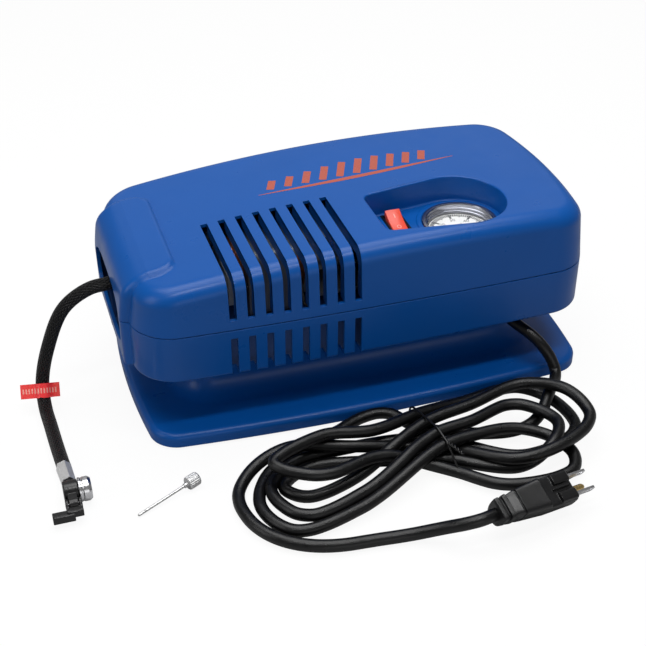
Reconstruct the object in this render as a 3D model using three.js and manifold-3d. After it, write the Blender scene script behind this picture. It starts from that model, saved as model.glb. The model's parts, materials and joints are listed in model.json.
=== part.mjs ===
// A small mains-powered piston air compressor for sports balls: a two-part blue housing on a pedestal base,
// with a rocker switch and a pressure gauge in a recess on top, a braided hose with a thumb-lock chuck,
// a loose inflating needle and a power cord tied in a hank.
// Inside: motor, crank, piston, cylinder and valves.
// Millimetres. X along the housing, the hose end at -X; Y across, the front at -Y; Z up.
// Pieces are placed from the centre of the base's footprint, on the floor; at the end everything is moved
// together so that the origin is the middle of the whole set's footprint.
import * as THREE from "three";
import { mergeVertices } from "three/addons/utils/BufferGeometryUtils.js";
import Module from "manifold-3d";

const wasm = await Module();
wasm.setup();

// ---------------------------------------------------------------- driving dimensions
const GAP = 0.3; // between neighbouring pieces
const WALL = 2.6; // moulded plastic wall

const SEAM_Z = 90.8; // parting line of the two shells
const BODY_BOTTOM_Z = 54;
const BODY_SHIFT_X = -1.7;
const BODY = { length: 345.4, width: 180, longBow: 4.7, endBow: 10.1, corner: 31.6 };
const TOP_HIGH_Z = 137.6; // highest line of the top, which falls away to both ends
const TOP_HIGH_X = 61;
const TOP_FALL = 3.29e-4;
const TOP_DRAFT = 2.7; // how far the upper wall leans in below its rounded edge
const TOP_EDGE_R = 12;

const BASE = { length: 340, width: 194.8, longBow: 8.8, endBow: 8.2, corner: 21.5 };
const BASE_BOTTOM_Z = 1.2;
const BASE_TOP_Z = 12;
const NECK = { length: 260, width: 100, longBow: 2, endBow: 2, corner: 20 };
const FOOT = { x: 140, y: 72, radius: 8 };
const FEET = [
  ["front_left", -FOOT.x, -FOOT.y],
  ["front_right", FOOT.x, -FOOT.y],
  ["back_left", -FOOT.x, FOOT.y],
  ["back_right", FOOT.x, FOOT.y],
];

const SLOT = { count: 8, pitch: 12.6, width: 5, firstX: -104.6, lowTop: 84.2, highBottom: 98, topReach: 6.3 };

const HOOD = { ridgeX: -134, halfWidth: 57, rise: 1.8, endX: -175.4 };
const END_OPENING = { halfWidth: 49, bottom: 63, top: 101 };

const RECESS = { leftX: 11.5, halfLeft: 27, axisY: -41, roundX: 75, radius: 35, floorZ: 117.5 };
const GAUGE = { x: 78.3, y: -39.8, holeRadius: 26 };
const ROCKER = { x: 33.4, y: -30, z: 116.8, halfLength: 13, width: 11.4, restTilt: 16 };

const AXLE_Z = 87; // motor shaft, along X at y = 0
const THROW = 8; // crank radius, so the stroke is twice this
const CYLINDER_X = -4;

const CORD_R = 4.3;
const HOSE_R = 4.9;

const group = new THREE.Group();

// ---------------------------------------------------------------- materials
const paint = (color, roughness, metalness = 0) =>
  new THREE.MeshStandardMaterial({ color, roughness, metalness });
const BLUE = paint(0x1f4fa8, 0.45);
const BLACK = paint(0x17181a, 0.55);
const RUBBER = paint(0x101113, 0.8);
const RED = paint(0xd8483a, 0.4);
const TAG_RED = paint(0xd83038, 0.6);
const STEEL = paint(0xb8babd, 0.3, 1);
const LAMINATION = paint(0x6f7276, 0.5, 1);
const BRASS = paint(0xb89a55, 0.35, 1);
const COPPER = paint(0xb06a35, 0.4, 1);
const CAST = paint(0xa5a8ab, 0.55, 1);
const WHITE = paint(0xf0f0ea, 0.6);
const CLEAR = paint(0xdfe8ec, 0.05);

// ---------------------------------------------------------------- solids
function solid(geometry) {
  const bare = geometry.clone();
  bare.deleteAttribute("normal");
  bare.deleteAttribute("uv");
  const merged = mergeVertices(bare, 1e-4);
  const triVerts = new Uint32Array(merged.index.array);
  return new wasm.Manifold(
    new wasm.Mesh({ numProp: 3, vertProperties: merged.attributes.position.array, triVerts }),
  );
}

function add(name, body, material) {
  const cut = body.getMesh();
  const geometry = new THREE.BufferGeometry();
  geometry.setAttribute("position", new THREE.BufferAttribute(cut.vertProperties, 3));
  geometry.setIndex(new THREE.BufferAttribute(cut.triVerts, 1));
  geometry.computeVertexNormals();
  const mesh = new THREE.Mesh(geometry, material.clone());
  mesh.name = name;
  group.add(mesh);
}

const union = (...bodies) => bodies.reduce((whole, next) => whole.add(next));

// A closed solid through rings of points. Every ring has the same even count, runs anticlockwise seen from
// the last ring's side, and its point i faces point n-1-i across the ring.
function loft(rings) {
  const n = rings[0].length;
  const last = rings.length - 1;
  const index = [];
  for (let k = 0; k < last; k++) {
    for (let i = 0; i < n; i++) {
      const j = (i + 1) % n;
      const [a, b, c, d] = [k * n + i, k * n + j, (k + 1) * n + j, (k + 1) * n + i];
      index.push(a, b, c, a, c, d);
    }
  }
  for (let i = 0; i < n / 2 - 1; i++) {
    const [a, b, c, d] = [i, i + 1, n - 2 - i, n - 1 - i];
    index.push(a, c, b, a, d, c);
    const top = last * n;
    index.push(top + a, top + b, top + c, top + a, top + c, top + d);
  }
  const geometry = new THREE.BufferGeometry().setFromPoints(rings.flat());
  geometry.setIndex(index);
  return solid(geometry);
}

// A bar of round section along a list of points, which may have its own radius at each point.
function bar(points, radius, sides = 8) {
  const radiusAt = (i) => (typeof radius === "function" ? radius(i / (points.length - 1)) : radius);
  const tangent = (i) =>
    points[Math.min(i + 1, points.length - 1)].clone().sub(points[Math.max(i - 1, 0)]).normalize();
  let across = new THREE.Vector3(0.31, 0.17, 0.94);
  const rings = points.map((point, i) => {
    const along = tangent(i);
    across = across.clone().addScaledVector(along, -across.dot(along)).normalize();
    const side = along.clone().cross(across);
    return Array.from({ length: sides }, (_, k) => {
      const angle = ((k + 0.5) / sides) * 2 * Math.PI;
      return point
        .clone()
        .addScaledVector(across, radiusAt(i) * Math.cos(angle))
        .addScaledVector(side, radiusAt(i) * Math.sin(angle));
    });
  });
  return loft(rings);
}

const at = (x, y, z) => new THREE.Vector3(x, y, z);
const AXES = { x: at(1, 0, 0), y: at(0, 1, 0), z: at(0, 0, 1) };

// A round bar along one axis, from one coordinate to another, centred on the other two.
function rod(axis, from, to, center, radius, sides = 24) {
  const point = (value) => center.clone().setComponent("xyz".indexOf(axis), value);
  return bar([point(from), point(to)], radius, sides);
}

function ring(axis, from, to, center, outer, inner, sides = 24) {
  const hole = rod(axis, from - 1, to + 1, center, inner, sides);
  return rod(axis, from, to, center, outer, sides).subtract(hole);
}

function box(x0, x1, y0, y1, z0, z1) {
  const geometry = new THREE.BoxGeometry(x1 - x0, y1 - y0, z1 - z0);
  geometry.translate((x0 + x1) / 2, (y0 + y1) / 2, (z0 + z1) / 2);
  return solid(geometry);
}

// A turned solid about a vertical axis: the profile is [radius, height] pairs, listed anticlockwise.
function turned(profile, center, sides = 32) {
  const points = profile.map(([r, z]) => new THREE.Vector2(r, z));
  const first = profile[0];
  const closing = first[0] > 0 ? [...points, points[0].clone()] : points;
  const geometry = new THREE.LatheGeometry(closing, sides);
  geometry.rotateX(Math.PI / 2);
  geometry.translate(center.x, center.y, 0);
  return solid(geometry);
}

// A flat outline pulled up from z0 to z1.
function pulled(shape, z0, z1, curveSegments = 8) {
  const geometry = new THREE.ExtrudeGeometry(shape, { depth: z1 - z0, bevelEnabled: false, curveSegments });
  geometry.translate(0, 0, z0);
  return solid(geometry);
}

// An outline in X and Z pulled across from y0 to y1.
function pulledAcross(shape, y0, y1, curveSegments = 8) {
  const geometry = new THREE.ExtrudeGeometry(shape, { depth: y1 - y0, bevelEnabled: false, curveSegments });
  geometry.rotateX(Math.PI / 2);
  geometry.translate(0, y1, 0);
  return solid(geometry);
}

function roundedRect(x0, x1, y0, y1, r) {
  const shape = new THREE.Shape();
  shape.moveTo(x0 + r, y0).lineTo(x1 - r, y0).absarc(x1 - r, y0 + r, r, -Math.PI / 2, 0);
  shape.lineTo(x1, y1 - r).absarc(x1 - r, y1 - r, r, 0, Math.PI / 2);
  shape.lineTo(x0 + r, y1).absarc(x0 + r, y1 - r, r, Math.PI / 2, Math.PI);
  shape.lineTo(x0, y0 + r).absarc(x0 + r, y0 + r, r, Math.PI, Math.PI * 1.5);
  return shape;
}

// ---------------------------------------------------------------- bowed outlines
// Points of an arc about a centre, from one point to another. Without its ends, the points lie midway
// between the steps.
function arcPoints(center, from, to, steps, includeEnds) {
  const start = Math.atan2(from.y - center.y, from.x - center.x);
  const end = Math.atan2(to.y - center.y, to.x - center.x);
  const radius = from.distanceTo(center);
  const count = includeEnds ? steps : steps - 1;
  return Array.from({ length: count + 1 }, (_, i) => {
    const t = includeEnds ? i / steps : (i + 0.5) / steps;
    const angle = start + (end - start) * t;
    return new THREE.Vector2(center.x + radius * Math.cos(angle), center.y + radius * Math.sin(angle));
  });
}

// A rectangle with gently bowed sides and round corners, set in by a distance: 40 points anticlockwise.
function bowed(size, inset = 0) {
  const a = size.length / 2 - inset;
  const b = size.width / 2 - inset;
  const r = Math.max(size.corner - inset, 1.5);
  const sideR = (a * a + size.longBow ** 2) / (2 * size.longBow);
  const endR = (b * b + size.endBow ** 2) / (2 * size.endBow);
  const sideCenter = new THREE.Vector2(0, b - sideR);
  const endCenter = new THREE.Vector2(a - endR, 0);
  const corner = circlesMeet(sideCenter, sideR - r, endCenter, endR - r);
  const onSide = corner.clone().sub(sideCenter).setLength(sideR).add(sideCenter);
  const onEnd = corner.clone().sub(endCenter).setLength(endR).add(endCenter);
  const quarter = [
    ...arcPoints(endCenter, new THREE.Vector2(a, 0), onEnd, 2, false),
    ...arcPoints(corner, onEnd, onSide, 5, true),
    ...arcPoints(sideCenter, onSide, new THREE.Vector2(0, b), 2, false),
  ];
  const mirror = (points, sx, sy) => points.map((p) => new THREE.Vector2(p.x * sx, p.y * sy)).reverse();
  const half = [...quarter, ...mirror(quarter, -1, 1)];
  return [...half, ...mirror(half, 1, -1)];
}

// Where two circles meet, on the side of larger x and y.
function circlesMeet(c0, r0, c1, r1) {
  const between = c1.clone().sub(c0);
  const d = between.length();
  const along = (r0 * r0 - r1 * r1 + d * d) / (2 * d);
  const off = Math.sqrt(r0 * r0 - along * along);
  const middle = c0.clone().addScaledVector(between, along / d);
  const normal = new THREE.Vector2(-between.y, between.x).divideScalar(d);
  const options = [off, -off].map((side) => middle.clone().addScaledVector(normal, side));
  return options.sort((p, q) => q.x + q.y - p.x - p.y)[0];
}

const level = (size, inset, z, shiftX = 0) =>
  bowed(size, inset).map((p) => at(p.x + shiftX, p.y, typeof z === "function" ? z(p.x + shiftX) : z));

// ---------------------------------------------------------------- housing
const topZ = (x) => TOP_HIGH_Z - TOP_FALL * (x - TOP_HIGH_X) ** 2;

// The upper shell's outside, or its inside when thickness is given.
function upperForm(thickness, bottomZ) {
  const rings = [level(BODY, thickness, bottomZ, BODY_SHIFT_X)];
  for (const degrees of [0, 30, 60, 90]) {
    const t = THREE.MathUtils.degToRad(degrees);
    const inset = TOP_DRAFT + TOP_EDGE_R * (1 - Math.cos(t)) + thickness * Math.cos(t);
    const z = (x) => topZ(x) - TOP_EDGE_R * (1 - Math.sin(t)) - thickness;
    rings.push(level(BODY, inset, z, BODY_SHIFT_X));
  }
  return loft(rings);
}

function lowerForm(thickness, topLimitZ) {
  const bottom = BODY_BOTTOM_Z + thickness;
  return loft([
    level(BODY, thickness + 3, bottom, BODY_SHIFT_X),
    level(BODY, thickness + 0.8, bottom + 0.8, BODY_SHIFT_X),
    level(BODY, thickness, bottom + 3, BODY_SHIFT_X),
    level(BODY, thickness, topLimitZ, BODY_SHIFT_X),
  ]);
}

// The raised panel that wraps over the hose end.
function hood(inset) {
  const edge = HOOD.ridgeX + inset;
  const end = HOOD.endX + inset;
  const rise = HOOD.rise - inset;
  const shape = new THREE.Shape();
  shape.moveTo(edge + 12, BODY_BOTTOM_Z + 0.8 + inset);
  shape.lineTo(edge + 12, topZ(edge) - 8);
  shape.lineTo(edge, topZ(edge) - 1);
  shape.lineTo(edge - 3, topZ(edge - 3) + rise);
  shape.lineTo(end + 16, topZ(end + 16) + rise - 0.5);
  shape.quadraticCurveTo(end + 1.5, topZ(end) + rise - 3, end + 0.8, topZ(end) - 16);
  shape.lineTo(end, SEAM_Z);
  shape.lineTo(end + 1, BODY_BOTTOM_Z + 0.8 + inset);
  const half = HOOD.halfWidth - inset;
  return pulledAcross(shape, -half, half, 4);
}

// Vent slots on the front side, between two heights, reaching in from the outside as far as innerY.
function slots(z0, z1, innerY) {
  const cuts = [];
  for (let i = 0; i < SLOT.count; i++) {
    const x = SLOT.firstX + i * SLOT.pitch;
    cuts.push(box(x - SLOT.width / 2, x + SLOT.width / 2, -120, innerY, z0, z1));
  }
  return union(...cuts);
}

function recessOutline(offset) {
  const r = RECESS.radius + offset;
  const left = RECESS.leftX - offset;
  const half = RECESS.halfLeft + offset;
  const shape = new THREE.Shape();
  const turn = Math.PI / 2 + Math.asin((r - half) / (RECESS.roundX - left));
  shape.moveTo(left, RECESS.axisY - half + 5);
  shape.quadraticCurveTo(left, RECESS.axisY - half, left + 5, RECESS.axisY - half);
  shape.absarc(RECESS.roundX, RECESS.axisY, r, -turn, turn);
  shape.lineTo(left + 5, RECESS.axisY + half);
  shape.quadraticCurveTo(left, RECESS.axisY + half, left, RECESS.axisY + half - 5);
  return shape;
}

// Four long screws go up through the pedestal and the lower shell into the upper shell.
const CASE_SCREWS = [
  ["front_left", -120, -34],
  ["front_right", 120, -34],
  ["back_left", -120, 34],
  ["back_right", 120, 34],
];
const boss = (x, y, z0, z1) => ring("z", z0, z1, at(x, y, 0), 4.5, 2, 12);

function endOpening() {
  const shape = new THREE.Shape();
  const { halfWidth, bottom, top } = END_OPENING;
  const middle = (bottom + top) / 2;
  shape.moveTo(-halfWidth, middle);
  shape.bezierCurveTo(-halfWidth, bottom - 2, -halfWidth + 20, bottom, 0, bottom);
  shape.bezierCurveTo(halfWidth - 20, bottom, halfWidth, bottom - 2, halfWidth, middle);
  shape.bezierCurveTo(halfWidth, top + 2, halfWidth - 20, top, 0, top);
  shape.bezierCurveTo(-halfWidth + 20, top, -halfWidth, top + 2, -halfWidth, middle);
  const geometry = new THREE.ExtrudeGeometry(shape, { depth: 50, bevelEnabled: false, curveSegments: 4 });
  geometry.rotateX(Math.PI / 2).rotateZ(-Math.PI / 2).translate(-140, 0, 0);
  return solid(geometry);
}

function upperShell() {
  const aboveSeam = box(-250, 250, -150, 150, SEAM_Z + 0.2, 200);
  const inside = upperForm(WALL, SEAM_Z - 1).add(hood(WALL).intersect(aboveSeam));
  const outside = upperForm(0, SEAM_Z).add(hood(0)).intersect(aboveSeam);
  const pocket = pulled(recessOutline(WALL), RECESS.floorZ - WALL, TOP_HIGH_Z - 3, 6);
  const gaugeHole = rod("z", 100, 130, at(GAUGE.x, GAUGE.y, 0), GAUGE.holeRadius, 28);
  const { x: rockerX, y: rockerY } = ROCKER;
  const switchHole = box(rockerX - 8, rockerX + 8, rockerY - 15.5, rockerY + 15.5, 100, 130);
  let shell = outside.subtract(inside).add(pocket.intersect(outside));
  shell = shell.subtract(pulled(recessOutline(0), RECESS.floorZ, 150, 8));
  shell = shell.subtract(gaugeHole).subtract(switchHole);
  shell = shell.subtract(slots(SLOT.highBottom, 150, -SLOT.topReach)).subtract(endOpening());
  for (const [, x, y] of CASE_SCREWS) {
    shell = shell.add(boss(x, y, SEAM_Z + 0.4, topZ(x) - 1.5));
  }
  return shell;
}

function lowerShell() {
  const belowSeam = box(-250, 250, -150, 150, 0, SEAM_Z - 0.2);
  const inside = lowerForm(WALL, SEAM_Z + 1).add(hood(WALL).intersect(belowSeam));
  const outside = lowerForm(0, SEAM_Z).add(hood(0).intersect(belowSeam)).intersect(belowSeam);
  let shell = outside.subtract(inside);
  shell = shell.subtract(slots(40, SLOT.lowTop, -84)).subtract(endOpening());
  for (const [, x, y] of CASE_SCREWS) {
    shell = shell.add(rod("z", BODY_BOTTOM_Z + 1, SEAM_Z - 0.4, at(x, y, 0), 4.5, 12));
    shell = shell.subtract(rod("z", 40, 100, at(x, y, 0), 2, 12));
  }
  return shell.subtract(rod("z", 40, 70, at(CORD_EXIT.x, CORD_EXIT.y, 0), 6.4, 16));
}

const CORD_EXIT = { x: 106, y: -60 };

function basePedestal() {
  const plate = loft([
    level(BASE, 0.8, BASE_BOTTOM_Z),
    level(BASE, 0, BASE_BOTTOM_Z + 1),
    level(BASE, 0, BASE_TOP_Z - 4),
    level(BASE, 1.2, BASE_TOP_Z - 1.2),
    level(BASE, 4, BASE_TOP_Z),
  ]);
  const neckTop = BODY_BOTTOM_Z - GAP;
  const neck = loft([level(NECK, 0, 8), level(NECK, 0, neckTop)]);
  const plateHollow = loft([level(BASE, 4, 0), level(BASE, 4, BASE_TOP_Z - WALL)]);
  const neckHollow = loft([level(NECK, WALL, 0), level(NECK, WALL, neckTop - WALL)]);
  let base = plate.add(neck).subtract(plateHollow).subtract(neckHollow);
  for (const [, x, y] of FEET) {
    base = base.add(rod("z", 2.6, BASE_TOP_Z - 1, at(x, y, 0), FOOT.radius + 1.5, 16));
  }
  for (const [, x, y] of CASE_SCREWS) {
    base = base.subtract(rod("z", neckTop - 10, neckTop + 10, at(x, y, 0), 2, 12));
  }
  return base;
}

// A screw with its head at the lower end.
function screwUp(x, y, headZ, tipZ, shank = 1.6, head = 3.5) {
  const foot = at(x, y, 0);
  return rod("z", headZ, headZ + 2.2, foot, head, 10).add(rod("z", headZ + 2, tipZ, foot, shank, 8));
}

add("upper_shell", upperShell(), BLUE);
add("lower_shell", lowerShell(), BLUE);
add("base_pedestal", basePedestal(), BLUE);
const footProfile = [[0, 0], [FOOT.radius - 1, 0], [FOOT.radius, 1], [FOOT.radius, 2.3], [0, 2.3]];
for (const [where, x, y] of FEET) {
  add(`foot_${where}`, turned(footProfile, at(x, y, 0), 20), RUBBER);
}
for (const [where, x, y] of CASE_SCREWS) {
  add(`case_screw_${where}`, screwUp(x, y, BODY_BOTTOM_Z - GAP - WALL - 2.5, SEAM_Z + 14), STEEL);
}

// ---------------------------------------------------------------- switch
const SWITCH_PIT = { width: 12.2, halfLength: 14, bottom: 106 };
function switchBody() {
  const { x, y, z } = ROCKER;
  const top = RECESS.floorZ + 0.6;
  const shell = box(x - 7.7, x + 7.7, y - 15.2, y + 15.2, 96, top);
  const { width, halfLength, bottom } = SWITCH_PIT;
  const pit = box(x - width / 2, x + width / 2, y - halfLength, y + halfLength, bottom, 130);
  const pivotHole = rod("x", x - 7, x + 7, at(0, y, z), 1.6, 12);
  return shell.subtract(pit).subtract(pivotHole);
}
function rocker() {
  const { x, halfLength: h, width } = ROCKER;
  const shape = new THREE.Shape();
  shape.moveTo(-h, 3.4).lineTo(-h, -0.5).lineTo(-4, -4.5).lineTo(4, -4.5).lineTo(h, -0.5).lineTo(h, 3.4);
  shape.quadraticCurveTo(0, 0.6, -h, 3.4);
  const geometry = new THREE.ExtrudeGeometry(shape, { depth: width, bevelEnabled: false, curveSegments: 6 });
  geometry.rotateX(Math.PI / 2).rotateZ(Math.PI / 2).translate(-width / 2, 0, 0);
  const pins = rod("x", -width / 2 - 0.9, width / 2 + 0.9, at(0, 0, 0), 1.25, 12);
  return solid(geometry).add(pins).rotate([ROCKER.restTilt, 0, 0]).translate([x, ROCKER.y, ROCKER.z]);
}
add("switch_body", switchBody(), BLACK);
add("switch_rocker", rocker(), RED);

// ---------------------------------------------------------------- gauge
const gaugeAt = at(GAUGE.x, GAUGE.y, 0);
const DIAL_Z = 110.4;
const caseCup = [[5, 88], [25.5, 88], [25.5, 117.2], [24.7, 117.2], [24.7, 89], [5, 89]];
const rimProfile = [
  [23.6, 111.9],
  [24.2, 111.9],
  [24.2, 117.9],
  [27.8, 117.9],
  [27.8, 118.6],
  [27, 119],
  [24.8, 119],
  [23.6, 118.4],
];
add("gauge_case", turned(caseCup, gaugeAt, 24), STEEL);
add("gauge_rim", turned(rimProfile, gaugeAt, 28), STEEL);
add("gauge_dial", ring("z", DIAL_Z, DIAL_Z + 0.8, gaugeAt, 24, 1.6, 32), WHITE);
add("gauge_lens", rod("z", 116.2, 117.6, gaugeAt, 23.2, 32), CLEAR);
const POINTER_REST = 225; // the hand at zero, in degrees from +X
function gaugePointer() {
  const hub = rod("z", DIAL_Z + 1.5, DIAL_Z + 3, gaugeAt, 2.4, 12);
  const arbor = rod("z", 104, DIAL_Z + 2, gaugeAt, 0.9, 8);
  const hand = box(-5, 18.6, -0.6, 0.6, DIAL_Z + 1.8, DIAL_Z + 2.4);
  return union(hub, arbor, hand.rotate([0, 0, POINTER_REST]).translate([GAUGE.x, GAUGE.y, 0]));
}
add("gauge_pointer", gaugePointer(), BLACK);
const BOURDON = { radius: 15, z: 98 };
function bourdonTube() {
  const points = Array.from({ length: 13 }, (_, i) => {
    const angle = THREE.MathUtils.degToRad(-75 + i * 20);
    const out = at(Math.cos(angle), Math.sin(angle), 0).multiplyScalar(BOURDON.radius);
    return out.add(at(GAUGE.x, GAUGE.y, BOURDON.z));
  });
  return bar(points, 2, 8);
}
function gaugeMovement() {
  const stem = rod("z", 74, 99, gaugeAt, 4.4, 12);
  const hex = rod("z", 80, 87.6, gaugeAt, 8, 6);
  const spout = rod("y", GAUGE.y, GAUGE.y + 12, at(GAUGE.x, 0, 77), 2.4, 10);
  const link = box(GAUGE.x, GAUGE.x + 4.5, GAUGE.y - 14, GAUGE.y, BOURDON.z - 1.4, BOURDON.z + 1.4);
  return union(stem, hex, spout, link, bourdonTube());
}
add("gauge_movement", gaugeMovement(), BRASS);

// ---------------------------------------------------------------- motor, fan and crank
const axle = at(0, 0, AXLE_Z);
const FRAME_TOP = AXLE_Z + 26;
const FRAME_BOTTOM = AXLE_Z - 26;
const BUSH_R = 6.5;
function stator() {
  const shape = roundedRect(-34, 34, FRAME_BOTTOM, FRAME_TOP, 6);
  const geometry = new THREE.ExtrudeGeometry(shape, { depth: 36, bevelEnabled: false, curveSegments: 2 });
  geometry.rotateX(Math.PI / 2).rotateZ(Math.PI / 2).translate(-80, 0, 0);
  let core = solid(geometry).subtract(rod("x", -90, -30, axle, 19.2, 24));
  for (const side of [-1, 1]) {
    core = core.subtract(rod("x", -90, -30, at(0, side * 29, AXLE_Z), 2.3, 10));
  }
  return core;
}
add("motor_stator", stator(), LAMINATION);
add("winding_left", ring("x", -88.5, -80.4, axle, 25, 17, 24), COPPER);
add("winding_right", ring("x", -43.6, -35.5, axle, 25, 17, 24), COPPER);
function motorBracket(x0, x1) {
  const across = box(x0, x1, -34, 34, AXLE_Z - 12, AXLE_Z + 12);
  const upright = box(x0, x1, -12, 12, FRAME_BOTTOM, FRAME_TOP);
  const boss = rod("x", x0, x1, axle, 10, 16);
  const bushHole = rod("x", x0 - 1, x1 + 1, axle, BUSH_R + 0.2, 24);
  let bracket = union(across, upright, boss).subtract(bushHole);
  for (const side of [-1, 1]) {
    bracket = bracket.subtract(rod("x", x0 - 1, x1 + 1, at(0, side * 29, AXLE_Z), 2.3, 10));
  }
  return bracket;
}
add("motor_bracket_left", motorBracket(-95, -91), CAST);
add("bush_left", ring("x", -95, -91, axle, BUSH_R, 4.06, 24), BRASS);
add("bush_right", ring("x", -33, -29, axle, BUSH_R, 4.06, 24), BRASS);
add("motor_shaft", rod("x", -108, -25, axle, 4, 24), STEEL);
add("motor_rotor", ring("x", -80, -44, axle, 18.5, 4.3, 24), LAMINATION);
const FAN = { x0: -107, x1: -99, radius: 25, blades: 7, bladePitch: 55 };
function fan() {
  let wheel = rod("x", FAN.x0, FAN.x1, axle, 8, 16);
  for (let i = 0; i < FAN.blades; i++) {
    const upright = box(-0.6, 0.6, 6, FAN.radius, -4.5, 4.5);
    const pitched = upright.rotate([0, FAN.bladePitch, 0]).rotate([(i * 360) / FAN.blades, 0, 0]);
    wheel = wheel.add(pitched.translate([(FAN.x0 + FAN.x1) / 2, 0, AXLE_Z]));
  }
  return wheel.subtract(rod("x", -110, -90, axle, 4.3, 24));
}
add("cooling_fan", fan(), BLACK);
const ROD_X = { from: -8, to: 0 };
function crank() {
  const disc = rod("x", -24.6, -17, axle, 15, 24);
  const pin = rod("x", -18, ROD_X.from - 0.5, at(0, -THROW, AXLE_Z), 3, 12);
  const below = box(-21, -10, -20, 0, AXLE_Z - 20, AXLE_Z - 9);
  const above = box(-21, -10, -20, 0, AXLE_Z + 9, AXLE_Z + 20);
  return disc.add(pin).subtract(below).subtract(above);
}
add("crank", crank(), STEEL);
function crankcase() {
  const floor = box(-28.6, 14, -22, 24, 62, 65);
  const roof = box(-28.6, 14, -22, 24, 109, 112);
  const cylinderHole = rod("y", 10, 30, at(CYLINDER_X, 0, AXLE_Z), 17, 24);
  const front = box(-28.6, 14, 21, 24, 62, 112).subtract(cylinderHole);
  const side = box(-28.6, -26.6, -22, 24, 62, 112).subtract(rod("x", -35, -20, axle, 11, 20));
  return union(motorBracket(-33, -28.4), floor, roof, front, side);
}
add("crankcase", crankcase(), CAST);

// ---------------------------------------------------------------- cylinder, piston and valves
const CYL = { from: 24.4, to: 58, bore: 15.3, wall: 18, fin: 22.5, fins: 4 };
const cylAxis = at(CYLINDER_X, 0, AXLE_Z);
function cylinder() {
  let body = ring("y", CYL.from, CYL.to, cylAxis, CYL.wall, CYL.bore, 20);
  for (let i = 0; i < CYL.fins; i++) {
    const y = CYL.from + 4 + i * 8;
    body = body.add(ring("y", y, y + 2, cylAxis, CYL.fin, CYL.bore + 1, 20));
  }
  return body;
}
add("cylinder", cylinder(), CAST);
const PISTON_Y = 35; // lower face of the piston at the bottom of its stroke
function connectingRod() {
  const bigEnd = ring("x", ROD_X.from, ROD_X.to, at(0, -THROW, AXLE_Z), 8, 3.4, 20);
  const [shankFrom, shankTo] = [-THROW + 6.8, PISTON_Y + 1];
  const shank = box(ROD_X.from + 1.5, ROD_X.to - 1.5, shankFrom, shankTo, AXLE_Z - 3.5, AXLE_Z + 3.5);
  const head = rod("y", PISTON_Y, PISTON_Y + 4, cylAxis, 13.6, 24);
  return union(bigEnd, shank, head);
}
add("connecting_rod", connectingRod(), CAST);
add("piston_cup", rod("y", PISTON_Y + 4.3, PISTON_Y + 6.3, cylAxis, 15, 24), RUBBER);
const HEAD_HALF = 22.5;
const HEAD_Y = { from: CYL.to + 3.4, to: CYL.to + 15 };
const BOLT_AT = 19;
const CORNERS = [
  [-1, -1],
  [1, -1],
  [-1, 1],
  [1, 1],
];
const boltCenter = ([dx, dz]) => at(CYLINDER_X + dx * BOLT_AT, 0, AXLE_Z + dz * BOLT_AT);
function headPlate(y0, y1, holes) {
  const [left, right] = [CYLINDER_X - HEAD_HALF, CYLINDER_X + HEAD_HALF];
  let plate = box(left, right, y0, y1, AXLE_Z - HEAD_HALF, AXLE_Z + HEAD_HALF);
  for (const corner of CORNERS) {
    plate = plate.subtract(rod("y", y0 - 1, y1 + 1, boltCenter(corner), 2, 10));
  }
  for (const [dx, r] of holes) {
    plate = plate.subtract(rod("y", y0 - 1, y1 + 1, at(CYLINDER_X + dx, 0, AXLE_Z), r, 12));
  }
  return plate;
}
const VALVE_PORTS = [
  [-6, 2.5],
  [6, 2.5],
];
add("valve_plate", headPlate(CYL.to + GAP, CYL.to + 3, VALVE_PORTS), STEEL);
const reed = box(CYLINDER_X - 10, CYLINDER_X + 10, CYL.to + 3.3, CYL.to + 3.6, AXLE_Z - 4, AXLE_Z + 4);
add("reed_valve", reed, STEEL);
const TEE = { x0: -45, x1: -33, y: 68, half: 6 };
function cylinderHead() {
  const chamber = rod("y", HEAD_Y.from - 1, HEAD_Y.to - 3, cylAxis, 14, 20);
  const side = CYLINDER_X - HEAD_HALF;
  const outletAt = at(0, TEE.y, AXLE_Z);
  const outlet = rod("x", side - 6, side + 2, outletAt, 3.5, 10);
  const port = rod("x", side - 8, CYLINDER_X, outletAt, 1.6, 8);
  return headPlate(HEAD_Y.from, HEAD_Y.to, []).subtract(chamber).add(outlet).subtract(port);
}
add("cylinder_head", cylinderHead(), CAST);
[CORNERS[0], CORNERS[3]].forEach((corner, i) => {
  const center = boltCenter(corner);
  const shank = rod("y", CYL.from + 0.4, HEAD_Y.to + 3, center, 1.7, 8);
  const head = rod("y", HEAD_Y.to + 0.3, HEAD_Y.to + 3, center, 3.4, 6);
  add(`head_bolt_${i + 1}`, shank.add(head), STEEL);
});
const tee = box(TEE.x0, TEE.x1, TEE.y - TEE.half, TEE.y + TEE.half, AXLE_Z - TEE.half, AXLE_Z + TEE.half);
add("outlet_tee", tee.add(rod("z", AXLE_Z + 5, AXLE_Z + 13, at(-39, TEE.y, 0), 2.2, 10)), BRASS);

// ---------------------------------------------------------------- tubes, wires and mounts inside
const curve = (points, count) =>
  new THREE.CatmullRomCurve3(points.map((p) => at(...p)), false, "centripetal").getSpacedPoints(count);
const gaugeTubePath = [
  [-39, TEE.y, AXLE_Z + 13.4],
  [-39, TEE.y, AXLE_Z + 22],
  [-30, 60, 119],
  [10, 34, 120],
  [60, 12, 112],
  [GAUGE.x, 0, 85],
  [GAUGE.x, GAUGE.y + 20, 77.5],
  [GAUGE.x, GAUGE.y + 12.4, 77],
];
add("gauge_tube", bar(curve(gaugeTubePath, 24), 3, 6), BLACK);
const wire = (name, points, material) => add(name, bar(curve(points, 14), 1.3, 6), material);
const loadPath = [
  [ROCKER.x + 5, ROCKER.y + 6, 95],
  [40, -23, 80],
  [38, -26, 66],
  [24, -38, 60.5],
  [0, -44, 60],
  [-39.5, -42, 68],
  [-39.5, -27, 84],
];
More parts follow.
